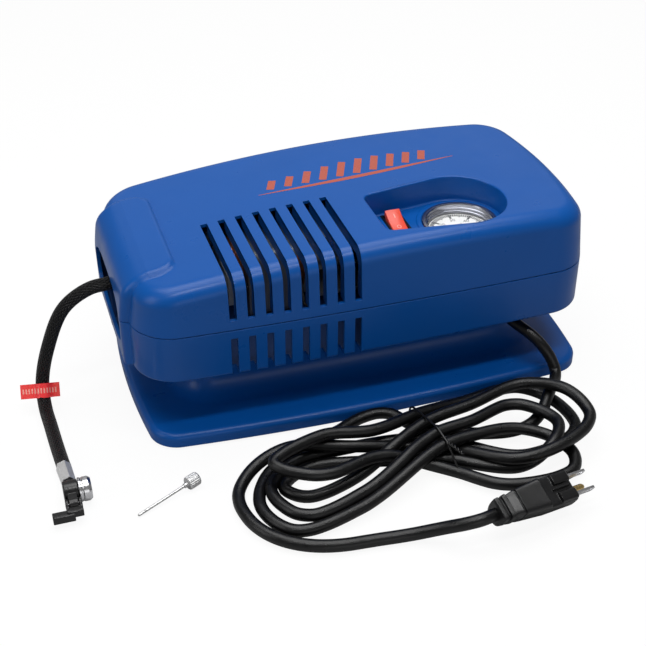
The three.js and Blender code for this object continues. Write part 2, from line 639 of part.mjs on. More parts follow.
const neutralPath = [
  [-39.5, 27, 86],
  [-41, 41, 72],
  [-30, 48, 60.5],
  [0, 44, 59.5],
  [20, 20, 60],
  [24, -10, 70],
  [ROCKER.x - 5, ROCKER.y + 6, 95],
];
wire("wire_load", loadPath, BLACK);
wire("wire_neutral", neutralPath, WHITE);
for (const [where, side] of [["front", -1], ["back", 1]]) {
  const [low, high] = [BODY_BOTTOM_Z + WALL + 0.2, FRAME_BOTTOM - 0.2];
  add(`motor_mount_${where}`, box(-78, -46, side * 25 - 5, side * 25 + 5, low, high), RUBBER);
}

// ---------------------------------------------------------------- hose
const HOSE_END = at(-229, -91, 6.2);
const hosePath = [
  [TEE.x0 - GAP, TEE.y, AXLE_Z],
  [-100, TEE.y, AXLE_Z],
  [-136, 46, 89],
  [-150, 14, 92],
  [-172, -5, 93],
  [-190, -5.5, 90.5],
  [-209, -6, 78],
  [-224, -8, 48],
  [-231.5, -10, 20],
  [-232.5, -22, 7.5],
  [-231.5, -42, 5.1],
  [-230.2, -70, 5.1],
  [HOSE_END.x, HOSE_END.y, HOSE_END.z],
];
const hoseLine = curve(hosePath, 56);
add("hose", bar(hoseLine, HOSE_R, 8), BLACK);
// A tag folded round the hose just above the floor, its two ends standing off to the sides.
function hoseTag() {
  const first = hoseLine.findIndex((p) => p.x < -225 && p.z < 26);
  const last = hoseLine.findIndex((p) => p.x < -225 && p.z < 12);
  const sleeve = bar(hoseLine.slice(first, last + 1), HOSE_R + 1.6, 10);
  const inside = bar(hoseLine.slice(first - 1, last + 2), HOSE_R + 0.8, 10);
  const middle = hoseLine[Math.round((first + last) / 2)];
  const flag = (x0, x1) => box(x0, x1, middle.y - 0.3, middle.y + 0.3, middle.z - 5, middle.z + 6);
  const left = flag(-248, middle.x - HOSE_R - 1);
  const right = flag(middle.x + HOSE_R + 1, -220);
  return sleeve.subtract(inside).add(left).add(right);
}
add("hose_tag", hoseTag(), TAG_RED);

// ---------------------------------------------------------------- chuck at the hose's end
const CHUCK = { x: -228, y: -121, z: 8.6, lever: -134 };
const ferruleLine = [at(-229, -91.9, 6.4), at(-228.4, -102, 7.2), at(-228, -111.2, 8)];
add("hose_ferrule", bar(ferruleLine, (t) => 5.3 - 0.5 * t, 6), STEEL);
function chuckBody() {
  const block = rod("x", -233, -223.2, at(0, CHUCK.y, CHUCK.z), 7.6, 16);
  const neck = rod("y", -120, -112, at(CHUCK.x, 0, 8.2), 4.2, 10);
  const ear = rod("x", -231, -225, at(0, CHUCK.lever, CHUCK.z), 4.2, 14);
  const web = box(-231, -225, CHUCK.lever, CHUCK.y, CHUCK.z - 4, CHUCK.z + 4);
  return union(block, neck, ear, web).subtract(rod("x", -240, -220, at(0, CHUCK.lever, CHUCK.z), 1.6, 12));
}
add("chuck_body", chuckBody(), BLACK);
const mouth = at(0, CHUCK.y, CHUCK.z);
add("chuck_barrel", ring("x", -222.9, -214.5, mouth, 8.3, 4.3, 24), STEEL);
add("chuck_gland", ring("x", -222.6, -216, mouth, 4, 2.1, 16), RUBBER);
add("lever_pin", rod("x", -233.6, -222.4, at(0, CHUCK.lever, CHUCK.z), 1.35, 12), STEEL);
function chuckLever() {
  const [low, high] = [CHUCK.z - 3, CHUCK.z + 3];
  const pivot = at(0, CHUCK.lever, CHUCK.z);
  const ear = (x0, x1) => box(x0, x1, -140, CHUCK.lever, low, high).add(rod("x", x0, x1, pivot, 4, 12));
  const arm = box(-233.4, -222.6, -144, -138.6, low, high);
  const thumb = box(-243, -228.5, -146, -139.5, 1.2, CHUCK.z + 1);
  const pinHole = rod("x", -240, -220, pivot, 1.6, 12);
  return union(ear(-233.4, -231.3), ear(-224.7, -222.6), arm, thumb).subtract(pinHole);
}
add("chuck_lever", chuckLever(), BLACK);

// ---------------------------------------------------------------- loose needle
const NEEDLE = { tip: at(-189, -150, 1.6), head: at(-144, -129, 5.1), shaftR: 1, headR: 4.7, headLength: 13 };
function needle() {
  const along = NEEDLE.head.clone().sub(NEEDLE.tip);
  const length = along.length();
  const point = (distance) => NEEDLE.tip.clone().addScaledVector(along, distance / length);
  const neck = length - NEEDLE.headLength;
  const shaftRadius = (t) => (t === 0 ? 0.5 : NEEDLE.shaftR);
  const collarRadius = (t) => (t === 1 ? NEEDLE.headR - 0.5 : NEEDLE.headR);
  const shaft = bar([point(0), point(1.2), point(neck + 1)], shaftRadius, 8);
  const head = bar([point(neck), point(length - 5)], 3.4, 8);
  const collar = bar([point(length - 5.5), point(length - 1), point(length)], collarRadius, 16);
  return union(shaft, head, collar);
}
add("needle", needle(), STEEL);

// ---------------------------------------------------------------- power cord
const STRAIN = [[5.2, 52], [8, 52], [8, 53.6], [6.1, 53.6], [6.1, 59], [5.2, 59]];
add("cord_strain_relief", turned(STRAIN, at(CORD_EXIT.x, CORD_EXIT.y, 0), 16), RUBBER);

// The cord's route: out of the housing and over the base's edge, then back and forth through the tie,
// round a loop at each end, and round a last wide loop to the plug. High strands cross over low ones.
const LOW = 4.4;
const HIGH = 13.4;
const TIE = {
  x: 20,
  high: [-119, -134, -148, -161],
  low: [-127, -139, -150, -161, -172],
};
const highPass = (i) => [[TIE.x, TIE.high[i], HIGH]];
const lowPass = (i) => [[TIE.x, TIE.low[i], LOW]];
const fromHousing = [
  [ROCKER.x, ROCKER.y - 8, 94], [ROCKER.x + 1, ROCKER.y - 9, 88], [50, -56, 74], [80, -66, 71],
  [100, -62, 72], [CORD_EXIT.x, CORD_EXIT.y, 64], [CORD_EXIT.x, CORD_EXIT.y, 56],
  [CORD_EXIT.x, CORD_EXIT.y, 49.5], [113, -70, 43], [126, -88, 34], [134.5, -99, 20], [135, -105, 12],
  [122, -122, HIGH], [102, -142, 6], [78, -148, LOW],
];
const loopLeft5 = [
  [2, -106, 7], [-18, -104, 5], [-36, -112, LOW], [-66, -122, LOW], [-98, -146, LOW],
  [-108, -174, LOW], [-93, -200, LOW], [-46, -193, 6],
];
const loopRight4 = [
  [46, -155, 12], [80, -153, 8], [102, -166, LOW], [108, -186, LOW], [98, -201, LOW], [51, -199, LOW],
];
const loopLeft1 = [
  [-20, -155, 13], [-70, -169, 20], [-97, -151, 22], [-58, -133, 22], [-20, -133, 18],
];
const loopRight1 = [
  [57, -107, 6], [105, -101, LOW], [125, -126, LOW], [124, -160, LOW], [76, -175, LOW],
];
const loopLeft4 = [
  [-40, -131, LOW], [-82, -136, LOW], [-102, -158, LOW], [-87, -188, LOW], [-41, -180, 6],
];
const loopRight3 = [
  [50, -142, HIGH], [90, -131, 12], [110, -158, HIGH], [96, -180, HIGH], [70, -187, 6],
];
const loopLeft3 = [
  [-30, -147, LOW], [-70, -141, LOW], [-92, -155, LOW], [-80, -170, LOW], [-42, -165, 6],
];
const loopRight2 = [
  [57, -125, 14], [101, -115, 16], [126, -136, 20], [128, -167, 16], [66, -189, 13],
];
const lastLoop = [
  [-40, -140, HIGH], [-78, -129, HIGH], [-104, -134, 8], [-122, -154, LOW], [-122, -178, LOW],
  [-113, -197, LOW], [-97, -211, LOW], [-76, -219, LOW], [-48, -222, LOW], [-27, -225, 5.5],
  [-9, -231, 11],
];

// ---------------------------------------------------------------- plug
const PLUG = { face: at(84.2, -225.6, 17.4), turn: 13.5, pitch: 5.9, roll: 26.2, length: 60.4 };
const PRONG = { apart: 6.35, down: 11.9, root: -6, bladeLength: 16.5, pinLength: 19.5 };
const plugFrame = new THREE.Matrix4()
  .makeTranslation(PLUG.face.x, PLUG.face.y, PLUG.face.z)
  .multiply(new THREE.Matrix4().makeRotationZ(THREE.MathUtils.degToRad(PLUG.turn)))
  .multiply(new THREE.Matrix4().makeRotationY(THREE.MathUtils.degToRad(PLUG.pitch)))
  .multiply(new THREE.Matrix4().makeRotationX(THREE.MathUtils.degToRad(PLUG.roll)));
const inPlug = (s, across, up) => at(s, across, up).applyMatrix4(plugFrame);
const AXIS_UP = -5; // the cord's axis in the plug, below the line of the two blades
const plugTail = [inPlug(-PLUG.length - 14, 0, AXIS_UP - 0.6), inPlug(-PLUG.length, 0, AXIS_UP)];
const list = (point) => [point.x, point.y, point.z];

const cordRoute = [
  ...fromHousing, ...lowPass(0), ...loopLeft5, ...highPass(3), ...loopRight4, ...lowPass(4), ...loopLeft1,
  ...highPass(0), ...loopRight1, ...lowPass(1), ...loopLeft4, ...highPass(2), ...loopRight3, ...lowPass(3),
  ...loopLeft3, ...highPass(1), ...loopRight2, ...lowPass(2), ...lastLoop, ...plugTail.map(list),
];

// Lets the strands push each other apart until none overlap, resting on the floor and over the tie. What is
// pushed is each point's offset from the route, and neighbours share it, so the loops keep their shape.
const SETTLE = { rounds: 320, share: 0.35, fixedStart: 23, fixedEnd: 5 };
function settle(home) {
  const apart = 2 * CORD_R + 0.5;
  const skip = Math.ceil((apart * 1.6) / home[0].distanceTo(home[1]));
  const last = home.length - SETTLE.fixedEnd;
  const points = home.map((p) => p.clone());
  for (let round = 0; round < SETTLE.rounds; round++) {
    for (let i = SETTLE.fixedStart; i < last; i++) {
      const before = points[i - 1].clone().sub(home[i - 1]);
      const after = points[i + 1].clone().sub(home[i + 1]);
      const shared = before.add(after).multiplyScalar(0.5).add(home[i]);
      points[i].lerp(shared, SETTLE.share);
    }
    for (let i = SETTLE.fixedStart - 6; i < points.length; i++) {
      for (let j = i + skip; j < points.length; j++) {
        const between = points[j].clone().sub(points[i]);
        const distance = between.length();
        if (distance >= apart) continue;
        const push = between.multiplyScalar((apart - distance) / distance / 2);
        if (j < last) points[j].add(push);
        if (i >= SETTLE.fixedStart) points[i].sub(push);
      }
    }
    for (const point of points.slice(SETTLE.fixedStart, last)) {
      const overTie = 1.3 * Math.exp(-(((point.x - TIE.x) / 16) ** 2));
      point.z = Math.max(point.z, CORD_R + 0.05 + overTie);
      if (point.z < 17) point.y = Math.min(point.y, -BASE.width / 2 + 1 - CORD_R);
    }
  }
  return points;
}
const CORD_STEP = 11;
const route = new THREE.CatmullRomCurve3(cordRoute.map((p) => at(...p)), false, "centripetal");
const cordLine = settle(route.getSpacedPoints(Math.round(route.getLength() / CORD_STEP)));
add("power_cord", bar(cordLine, CORD_R, 6), RUBBER);
// The plug's body is drawn through rounded cross-sections: how far along, half width, and the heights
// above and below the blades' line.
function plugBody() {
  const section = (s, half, up, down) => {
    const points = [];
    for (const degrees of [15, 40, 65, 115, 140, 165, 195, 225, 255, 285, 315, 345]) {
      const t = THREE.MathUtils.degToRad(degrees);
      const square = Math.sin(t) > 0 ? 0.45 : 0.9;
      const across = Math.sign(Math.cos(t)) * Math.abs(Math.cos(t)) ** square * half;
      const reach = Math.sin(t) > 0 ? up : -down;
      points.push(inPlug(s, across, Math.abs(Math.sin(t)) ** square * reach));
    }
    return points;
  };
  const sections = [
    [-PLUG.length, 7.6, 2.6, 12.6],
    [-56.6, 7.9, 3, 13],
    [-56, 6.8, 2, 12],
    [-54.6, 6.8, 2, 12],
    [-54, 8.4, 3.8, 13.8],
    [-45.4, 9, 5.2, 15.2],
    [-44.8, 8.4, 4.6, 14.6],
    [-43.9, 8.4, 4.6, 14.6],
    [-43.3, 9.2, 5.4, 15.2],
    [-24.6, 10.7, 7, 16.5],
    [-23.8, 10.7, 3.4, 16.5],
    [-0.3, 10.3, 3, 16],
  ];
  const tail = -PLUG.length;
  const cordHole = bar([inPlug(tail - 2, 0, AXIS_UP), inPlug(tail + 8, 0, AXIS_UP)], CORD_R + 0.5, 12);
  let body = loft(sections.map(([s, half, up, down]) => section(s, half, up, down))).subtract(cordHole);
  for (const side of [-1, 1]) {
    const across = side * PRONG.apart;
    body = body.add(plugBox(-14, -0.6, across - 3.8, across + 3.8, -1, 5.2));
    body = body.subtract(plugBox(PRONG.root - GAP, 1, across - 1.1, across + 1.1, -3.5, 3.5));
  }
  const pinSocket = [inPlug(PRONG.root - GAP, 0, -PRONG.down), inPlug(1, 0, -PRONG.down)];
  return body.subtract(bar(pinSocket, 2.7, 12));
}
function plugBox(s0, s1, a0, a1, u0, u1) {
  return box(s0, s1, a0, a1, u0, u1).transform(plugFrame.elements);
}
function blade(side) {
  const tip = PRONG.bladeLength;
  const across = side * PRONG.apart;
  const hole = plugBox(tip - 5.6, tip - 2.4, across - 2, across + 2, -1.6, 1.6);
  return plugBox(PRONG.root, tip, across - 0.75, across + 0.75, -3.15, 3.15).subtract(hole);
}
function groundPin() {
  const stops = [PRONG.root, PRONG.pinLength - 2, PRONG.pinLength];
  return bar(stops.map((s) => inPlug(s, 0, -PRONG.down)), (t) => (t === 1 ? 1.3 : 2.4), 12);
}
add("plug_body", plugBody(), BLACK);
add("plug_blade_near", blade(-1), STEEL);
add("plug_blade_far", blade(1), STEEL);
add("plug_ground_pin", groundPin(), BRASS);

// ---------------------------------------------------------------- tie round the hank
function cordTie() {
  const held = cordLine.filter((p) => Math.abs(p.x - TIE.x) < 10 && p.z < 30 && p.y > -200);
  const out = CORD_R + 1.5;
  const front = Math.min(...held.map((p) => p.y)) - out;
  const back = Math.max(...held.map((p) => p.y)) + out;
  const high = Math.max(...held.map((p) => p.z)) + out;
  const shape = roundedRect(front, back, 0.1, high, 8);
  const hole = roundedRect(front + 1, back - 1, 1.1, high - 1, 7);
  shape.holes.push(hole);
  const geometry = new THREE.ExtrudeGeometry(shape, { depth: 2, bevelEnabled: false, curveSegments: 3 });
  geometry.rotateX(Math.PI / 2).rotateZ(Math.PI / 2).translate(TIE.x - 1, 0, 0);
  return solid(geometry);
}
add("cord_tie", cordTie(), BLACK);

// ---------------------------------------------------------------- origin
const whole = new THREE.Box3().setFromObject(group);
const middle = whole.getCenter(at(0, 0, 0)).setZ(whole.min.z);
for (const mesh of group.children) {
  mesh.geometry.translate(-middle.x, -middle.y, -middle.z);
}

export default group;
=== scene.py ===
"""Looks for a small mains air compressor: housing, gauge, switch, hose, chuck, needle, cord and plug.

Lengths are worked out in millimetres from the middle of the base's footprint, along the frame's axes, and
moved to the frame's origin in metres as each piece is made.
"""

import json
import math

import bpy
import numpy as np
from mathutils import Matrix, Vector


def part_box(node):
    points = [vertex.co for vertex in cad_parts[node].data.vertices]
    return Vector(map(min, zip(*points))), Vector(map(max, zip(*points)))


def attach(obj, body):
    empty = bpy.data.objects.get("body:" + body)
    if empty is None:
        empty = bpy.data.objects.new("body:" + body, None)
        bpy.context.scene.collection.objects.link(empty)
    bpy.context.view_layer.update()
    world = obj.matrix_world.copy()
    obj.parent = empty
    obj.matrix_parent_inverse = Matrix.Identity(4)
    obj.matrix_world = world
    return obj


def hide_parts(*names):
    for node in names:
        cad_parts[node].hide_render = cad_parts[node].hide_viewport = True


MM = 0.001
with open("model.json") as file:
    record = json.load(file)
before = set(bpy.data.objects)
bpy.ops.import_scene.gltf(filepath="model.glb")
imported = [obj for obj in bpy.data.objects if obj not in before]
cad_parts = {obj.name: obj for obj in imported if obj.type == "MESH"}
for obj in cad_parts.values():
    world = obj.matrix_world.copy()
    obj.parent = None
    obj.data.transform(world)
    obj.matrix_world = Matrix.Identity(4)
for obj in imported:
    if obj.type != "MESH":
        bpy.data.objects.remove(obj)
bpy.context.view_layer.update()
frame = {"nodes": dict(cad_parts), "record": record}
NODES = frame["nodes"]
BODY_OF = {node: body for body, nodes in frame["record"]["behaviour"]["bodies"].items() for node in nodes}
SLOT_OF = {row["node"]: row["material_slot"] for row in frame["record"]["subparts"]}


def housing_place():
    """Where the middle of the base's footprint lies in the frame, in millimetres."""
    low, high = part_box("base_pedestal")
    foot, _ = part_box("foot_front_left")
    return np.array([(low.x + high.x) / 2, (low.y + high.y) / 2, foot.z]) / MM


PLACE = housing_place()


def cad_points(node):
    """The points of a CAD node, in millimetres from the middle of the base's footprint."""
    return np.array([v.co for v in NODES[node].data.vertices]) / MM - PLACE


def node_box(node):
    """Lowest and highest corner of a CAD node, in the same measure."""
    points = cad_points(node)
    return points.min(0), points.max(0)


# ---------------------------------------------------------------- driving dimensions
WALL = 2.6
SEAM_Z = 90.8
SEAM_HALF_GAP = 0.25
SEAM_CHAMFER = 0.35
BODY_BOTTOM_Z = 54.0
LOWER_EDGE_R = 3.0
BODY_SHIFT_X = -1.7
BODY = dict(length=345.4, width=180.0, long_bow=4.7, end_bow=10.1, corner=31.6)
TOP_HIGH_Z = 137.6
TOP_HIGH_X = 61.0
TOP_FALL = 3.29e-4
TOP_DRAFT = 2.7
TOP_EDGE_R = 12.0
BASE = dict(length=340.0, width=194.8, long_bow=8.8, end_bow=8.2, corner=21.5)
BASE_BOTTOM_Z = 1.2
BASE_TOP_Z = 12.0
BASE_EDGE_R = 4.2
NECK = dict(length=260.0, width=100.0, long_bow=2.0, end_bow=2.0, corner=20.0)
NECK_FLARE_R = 16.0
SLOTS = dict(count=8, pitch=12.6, width=5.0, first_x=-104.6, low_top=84.2, high_bottom=98.0)
SLOT_INNER_Y = dict(upper=-6.3, lower=-79.0)
HOOD = dict(ridge_x=-134.0, half=57.0, rise=3.2, end_x=-176.2, edge_r=6.0, corner=17.0, blend=2.4)
END_OPENING = dict(half=49.0, bottom=63.0, top=101.0)
RECESS = dict(left=11.5, half=27.0, axis_y=-41.0, round_x=75.0, radius=35.0, floor_z=117.5)
RECESS_LIP_R = 1.3
RECESS_FILLET_R = 1.8
GAUGE_AT = (78.3, -39.8)
GAUGE_HOLE_R = 26.0
DIAL_Z = 111.2
SWEEP_START, SWEEP = 225.0, 270.0
ROCKER = dict(x=33.4, y=-30.0, z=116.8, half=13.0, width=11.4, tilt=16.0)
OFF_MARK_Y = -3.5
CORD_R = 4.3
HOSE_R = 4.9
CHUCK = dict(x=-228.0, y=-121.0, z=8.6, lever_y=-134.0)
NEEDLE = dict(tip=(-189, -150, 1.6), head=(-144, -129, 5.1))
TIE_R = 0.8
PRONG_APART = 6.35
PRONG_DOWN = 11.9
BLADE = dict(length=16.5, half=3.15, thick=0.75, hole_r=1.7)
PIN_LENGTH = 19.5
PIN_HIDDEN = 6.0
# Along the plug's axis: place, half width, height above and depth below the axis.
PLUG_SECTIONS = [
    (-60, 6, 1, 11), (-59.5, 8, 3, 13), (-57, 8.3, 3.3, 13.3), (-56.4, 8, 3, 13), (-56, 6.8, 2, 12),
    (-54.6, 6.8, 2, 12), (-54.2, 8.4, 3.6, 13.6), (-51.6, 8.8, 4, 14), (-51.2, 8.2, 3.6, 13.6),
    (-50.4, 8.0, 4, 14), (-45.4, 9, 5.4, 15.2), (-45, 8.4, 4.6, 14.6), (-44, 8.4, 4.6, 14.6),
    (-43.6, 9.2, 5.6, 15.2),
    (-25.6, 10.6, 7, 16.4), (-25, 10.7, 7.1, 16.5), (-24.2, 10.7, 6.8, 16.5), (-23.6, 10.7, 3.4, 16.5),
    (-1, 10.7, 3.4, 16.5), (-0.2, 10.2, 2.8, 15.8),
]


# ---------------------------------------------------------------- shader helpers
class Look:
    """A Principled material whose inputs are fed by noise and math nodes."""

    def __init__(self, name):
        self.material = bpy.data.materials.new(name)
        self.material.use_nodes = True
        self.tree = self.material.node_tree
        self.shader = self.tree.nodes["Principled BSDF"]
        coords = self.tree.nodes.new("ShaderNodeTexCoord")
        self.place = coords.outputs["Object"]
        self.uv = coords.outputs["UV"]

    def node(self, kind, inputs, **settings):
        made = self.tree.nodes.new(kind)
        for key, value in settings.items():
            setattr(made, key, value)
        for key, value in inputs.items():
            if isinstance(value, bpy.types.NodeSocket):
                self.tree.links.new(value, made.inputs[key])
            else:
                made.inputs[key].default_value = value
        return made

    def noise(self, per_mm, detail=3.0, place=None, stretch=None):
        """Noise with so many cells to a millimetre, 0 to 1, which may be stretched along the axes."""
        where = place or self.place
        if stretch:
            where = self.node("ShaderNodeVectorMath", {0: where, 1: stretch}, operation="MULTIPLY").outputs[0]
        made = self.node("ShaderNodeTexNoise", {"Vector": where, "Scale": per_mm / MM, "Detail": detail})
        return made.outputs["Fac"]

    def math(self, operation, a, b=0.0):
        return self.node("ShaderNodeMath", {0: a, 1: b}, operation=operation).outputs[0]

    def ramp(self, value, low, high):
        """Stretches a value that runs from about 0.3 to 0.7 so that it runs from low to high."""
        inputs = {"Value": value, "From Min": 0.3, "From Max": 0.7, "To Min": low, "To Max": high}
        return self.node("ShaderNodeMapRange", inputs).outputs["Result"]

    def set(self, **values):
        for key, value in values.items():
            socket = self.shader.inputs[key.replace("_", " ")]
            if isinstance(value, bpy.types.NodeSocket):
                self.tree.links.new(value, socket)
            else:
                socket.default_value = value

    def color(self, base, variation, amount):
        """Base colour that wanders by a share of itself with the variation."""
        dark = [c * (1 - amount) for c in base] + [1]
        light = [min(1, c * (1 + amount)) for c in base] + [1]
        mixed = self.node("ShaderNodeMix", {"Factor": variation}, data_type="RGBA")
        mixed.inputs[6].default_value = dark
        mixed.inputs[7].default_value = light
        self.tree.links.new(mixed.outputs[2], self.shader.inputs["Base Color"])

    def bump(self, height, depth_mm, round_mm=0.0):
        """Relief of the given depth, on edges that look rounded to the given radius."""
        inputs = {"Height": height, "Distance": depth_mm * MM, "Strength": 1.0}
        if round_mm:
            bevel = self.node("ShaderNodeBevel", {"Radius": round_mm * MM}, samples=6)
            inputs["Normal"] = bevel.outputs["Normal"]
        made = self.node("ShaderNodeBump", inputs)
        self.tree.links.new(made.outputs["Normal"], self.shader.inputs["Normal"])


def plastic(name, base, rough, grain=1.4, depth=0.012, round_mm=0.35, shine=0.5):
    """Moulded plastic with a fine spark texture and slow changes in gloss."""
    look = Look(name)
    look.color(base, look.noise(0.02), 0.06)
    look.set(Roughness=look.ramp(look.noise(0.05), rough - 0.04, rough + 0.05))
    look.set(Specular_IOR_Level=shine)
    look.bump(look.noise(grain, 2.0), depth, round_mm)
    return look.material


def metal(name, base, rough, stretch=(1, 1, 1), depth=0.006, patchy=1.0):
    """Bare or plated metal, with turning or rolling marks where the noise is stretched."""
    look = Look(name)
    marks = look.noise(0.8, 4.0, stretch=stretch)
    look.color(base, marks, 0.1 * patchy)
    gloss = look.ramp(marks, rough - 0.05 * patchy, rough + 0.08 * patchy)
    look.set(Metallic=1.0, Roughness=gloss)
    look.bump(marks, depth)
    return look.material


def cast(name, base):
    """Cast alloy with a sandy skin."""
    look = Look(name)
    look.color(base, look.noise(0.1), 0.15)
    look.set(Metallic=0.9, Roughness=look.ramp(look.noise(0.6), 0.42, 0.62))
    look.bump(look.noise(0.9, 5.0), 0.12, 0.4)
    return look.material


def rubber_jacket():
    """The cord's jacket: long shallow drawing lines and scuffs."""
    look = Look("cord_jacket")
    lines = look.noise(0.35, 2.0, place=look.uv, stretch=(0.05, 1.0, 1.0))
    scuffs = look.noise(0.25, 6.0)
    look.color((0.0025, 0.0025, 0.0028), scuffs, 0.35)
    look.set(Roughness=look.ramp(scuffs, 0.26, 0.38), Specular_IOR_Level=0.4)
    look.bump(lines, 0.05)
    return look.material


BRAID = dict(pitch=4.4, strands=14)


def braid():
    """Two families of helical yarns that pass over and under each other. U is mm along, V is turns round."""
    look = Look("hose_braid")
    parts = look.node("ShaderNodeSeparateXYZ", {"Vector": look.uv})
    along = look.math("MULTIPLY", parts.outputs["X"], 2 * math.pi / (BRAID["pitch"] * MM))
    turn = look.math("MULTIPLY", parts.outputs["Y"], 2 * math.pi * BRAID["strands"])
    rising = look.math("SINE", look.math("ADD", turn, along))
    falling = look.math("SINE", look.math("SUBTRACT", turn, along))
    weave = look.math("MAXIMUM", rising, falling)
    fibres = look.noise(1.2, 3.0, place=look.uv, stretch=(0.4, 0.4, 1.0))
    height = look.math("ADD", weave, look.math("MULTIPLY", fibres, 0.5))
    # Colour follows the weave: lighter on the yarns' crowns and darker in the dips between them, painted
    # shade.
    inputs = {"Value": weave, "From Min": -0.6, "From Max": 1.0, "To Min": 0.0, "To Max": 1.0}
    shade = look.node("ShaderNodeMapRange", inputs).outputs["Result"]
    look.color((0.0025, 0.0025, 0.0028), shade, 0.75)
    look.set(Roughness=0.34, Specular_IOR_Level=0.3)
    look.bump(height, 0.5)
    return look.material


def clear(name, tint):
    """Clear plastic with faint rubbing marks."""
    look = Look(name)
    rubbed = look.noise(0.4, 5.0)
    look.set(Transmission_Weight=1.0, IOR=1.15, Alpha=0.06, Base_Color=(*tint, 1))
    look.set(Roughness=look.ramp(rubbed, 0.02, 0.06))
    look.bump(rubbed, 0.0005)
    return look.material


def film(name, base, alpha):
    """Thin printed plastic film that lets some light through."""
    look = Look(name)
    creases = look.noise(0.12, 3.0)
    look.color(base, creases, 0.08)
    look.set(Roughness=look.ramp(creases, 0.25, 0.4), Alpha=alpha, Subsurface_Weight=0.1)
    look.bump(creases, 0.3)
    return look.material


def printed(name, base, wear=0.18):
    """Ink printed on plastic, also laid as painted shade in the needle's hole: slightly uneven, with tiny
    missing specks.
    """
    look = Look(name)
    look.color(base, look.noise(0.8, 4.0), wear)
    look.set(Roughness=look.ramp(look.noise(1.5), 0.4, 0.55))
    look.bump(look.noise(2.0), 0.01)
    return look.material


def stacked(name, base):
    """Laminated sheet steel, seen edge on as fine lines across X."""
    look = Look(name)
    lines = look.noise(1.2, 1.0, stretch=(1.0, 0.02, 0.02))
    look.color(base, lines, 0.3)
    look.set(Metallic=0.8, Roughness=look.ramp(lines, 0.35, 0.55))
    look.bump(lines, 0.15)
    return look.material


def windings(name, base):
    """Enamelled wire laid in turns."""
    look = Look(name)
    waves = look.node("ShaderNodeTexWave", {"Vector": look.place, "Scale": 320.0, "Distortion": 3.0})
    look.color(base, waves.outputs["Fac"], 0.4)
    look.set(Metallic=0.85, Roughness=0.32)
    look.bump(waves.outputs["Fac"], 0.4)
    return look.material


LOOKS = {
    "housing_blue": plastic(
        "housing_blue", (0.0008, 0.072, 0.315), 0.31, grain=1.1, depth=0.016, round_mm=0.5, shine=0.27
    ),
    "plastic_black": plastic("plastic_black", (0.004, 0.004, 0.0045), 0.34),
    "rubber_black": plastic("rubber_black", (0.014, 0.014, 0.014), 0.6, grain=0.7, depth=0.03),
    "plug_rubber": plastic("plug_rubber", (0.004, 0.004, 0.0045), 0.32, grain=1.2, depth=0.02, round_mm=0.5),
    "rocker_red": plastic("rocker_red", (0.78, 0.07, 0.035), 0.3, grain=0.8, depth=0.006),
    "hose_braid": braid(),
    "tag_red": film("tag_red", (0.95, 0.045, 0.05), 1.0),
    "steel": metal("steel", (0.52, 0.52, 0.53), 0.3, stretch=(1, 1, 0.2), depth=0.002),
    "chrome": metal("chrome", (0.74, 0.74, 0.76), 0.2, stretch=(1, 1, 0.3), depth=0.001),
    "laminations": stacked("laminations", (0.2, 0.21, 0.23)),
    "brass": metal("brass", (0.66, 0.48, 0.2), 0.28),
    "copper": windings("copper", (0.5, 0.17, 0.06)),
    "cast_alloy": cast("cast_alloy", (0.45, 0.46, 0.47)),
    "dial_white": plastic("dial_white", (0.86, 0.86, 0.84), 0.45, depth=0.004),
    "lens": clear("lens", (0.95, 0.98, 0.98)),
}
RIM_STEEL = metal("rim_steel", (0.36, 0.37, 0.42), 0.24, stretch=(1, 1, 0.15), depth=0.0003, patchy=0.3)
FERRULE_NICKEL = metal("ferrule_nickel", (0.92, 0.92, 0.92), 0.42, stretch=(1, 1, 0.3), depth=0.0005)
NEEDLE_STEEL = metal("needle_steel", (0.6, 0.6, 0.6), 0.38, stretch=(1, 1, 0.3), depth=0.001)
# The shells' inner faces: the housing's blue darkened, painted shade for the unlit inside.
SHELL_INSIDE_PAINTED_SHADE = plastic("shell_inside_painted_shade", (0.001, 0.03, 0.14), 0.6)
CORD_JACKET = rubber_jacket()
INK_RED = printed("ink_red", (0.38, 0.075, 0.048))
# Black print on the dial; the same black is painted shade for the needle's side hole.
INK_BLACK_AND_HOLE_SHADE = printed("ink_black_and_hole_shade", (0.02, 0.02, 0.022), 0.3)
INK_PALE = printed("ink_pale", (0.9, 0.36, 0.3), 0.1)


# ---------------------------------------------------------------- mesh helpers
def new_mesh(name, verts, faces, look, crease=35):
    """A mesh object from points in millimetres, smooth except at edges sharper than the crease angle."""
    mesh = bpy.data.meshes.new(name)
    mesh.from_pydata(((np.asarray(verts, float) + PLACE) * MM).tolist(), [], faces)
    obj = bpy.data.objects.new(name, mesh)
    bpy.context.scene.collection.objects.link(obj)
    mesh.materials.append(look)
    soften(obj, crease)
    return obj


def soften(obj, crease=35):
    mesh = obj.data
    mesh.polygons.foreach_set("use_smooth", [True] * len(mesh.polygons))
    mesh.set_sharp_from_angle(angle=math.radians(crease))
    mesh.update()


def stands_for(obj, node):
    """Puts a piece on the body of the CAD node it stands for."""
    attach(obj, BODY_OF[node])
    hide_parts(node)
    return obj


def detail(node, part, look, crease=35):
    """A finer piece in a CAD node's place, from points and faces, named after it."""
    return stands_for(new_mesh(node + "_detail", *part, look, crease), node)


def rides_with(obj, node):
    """Puts a printed or added piece on the body of a CAD node."""
    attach(obj, BODY_OF[node])
    return obj


def ring_faces(rings, count, closed=True):
    """Quads between rings of points, each ring of the same count."""
    faces = []
    for k in range(rings - 1):
        for i in range(count if closed else count - 1):
            j = (i + 1) % count
            faces.append((k * count + i, k * count + j, (k + 1) * count + j, (k + 1) * count + i))
    return faces


def loft(rings, caps=True):
    """Points and faces of a closed solid through rings, with a flat face on each end."""
    count = len(rings[0])
    faces = ring_faces(len(rings), count)
    if caps:
        faces.append(tuple(reversed(range(count))))
        faces.append(tuple((len(rings) - 1) * count + i for i in range(count)))
    return np.concatenate(rings), faces


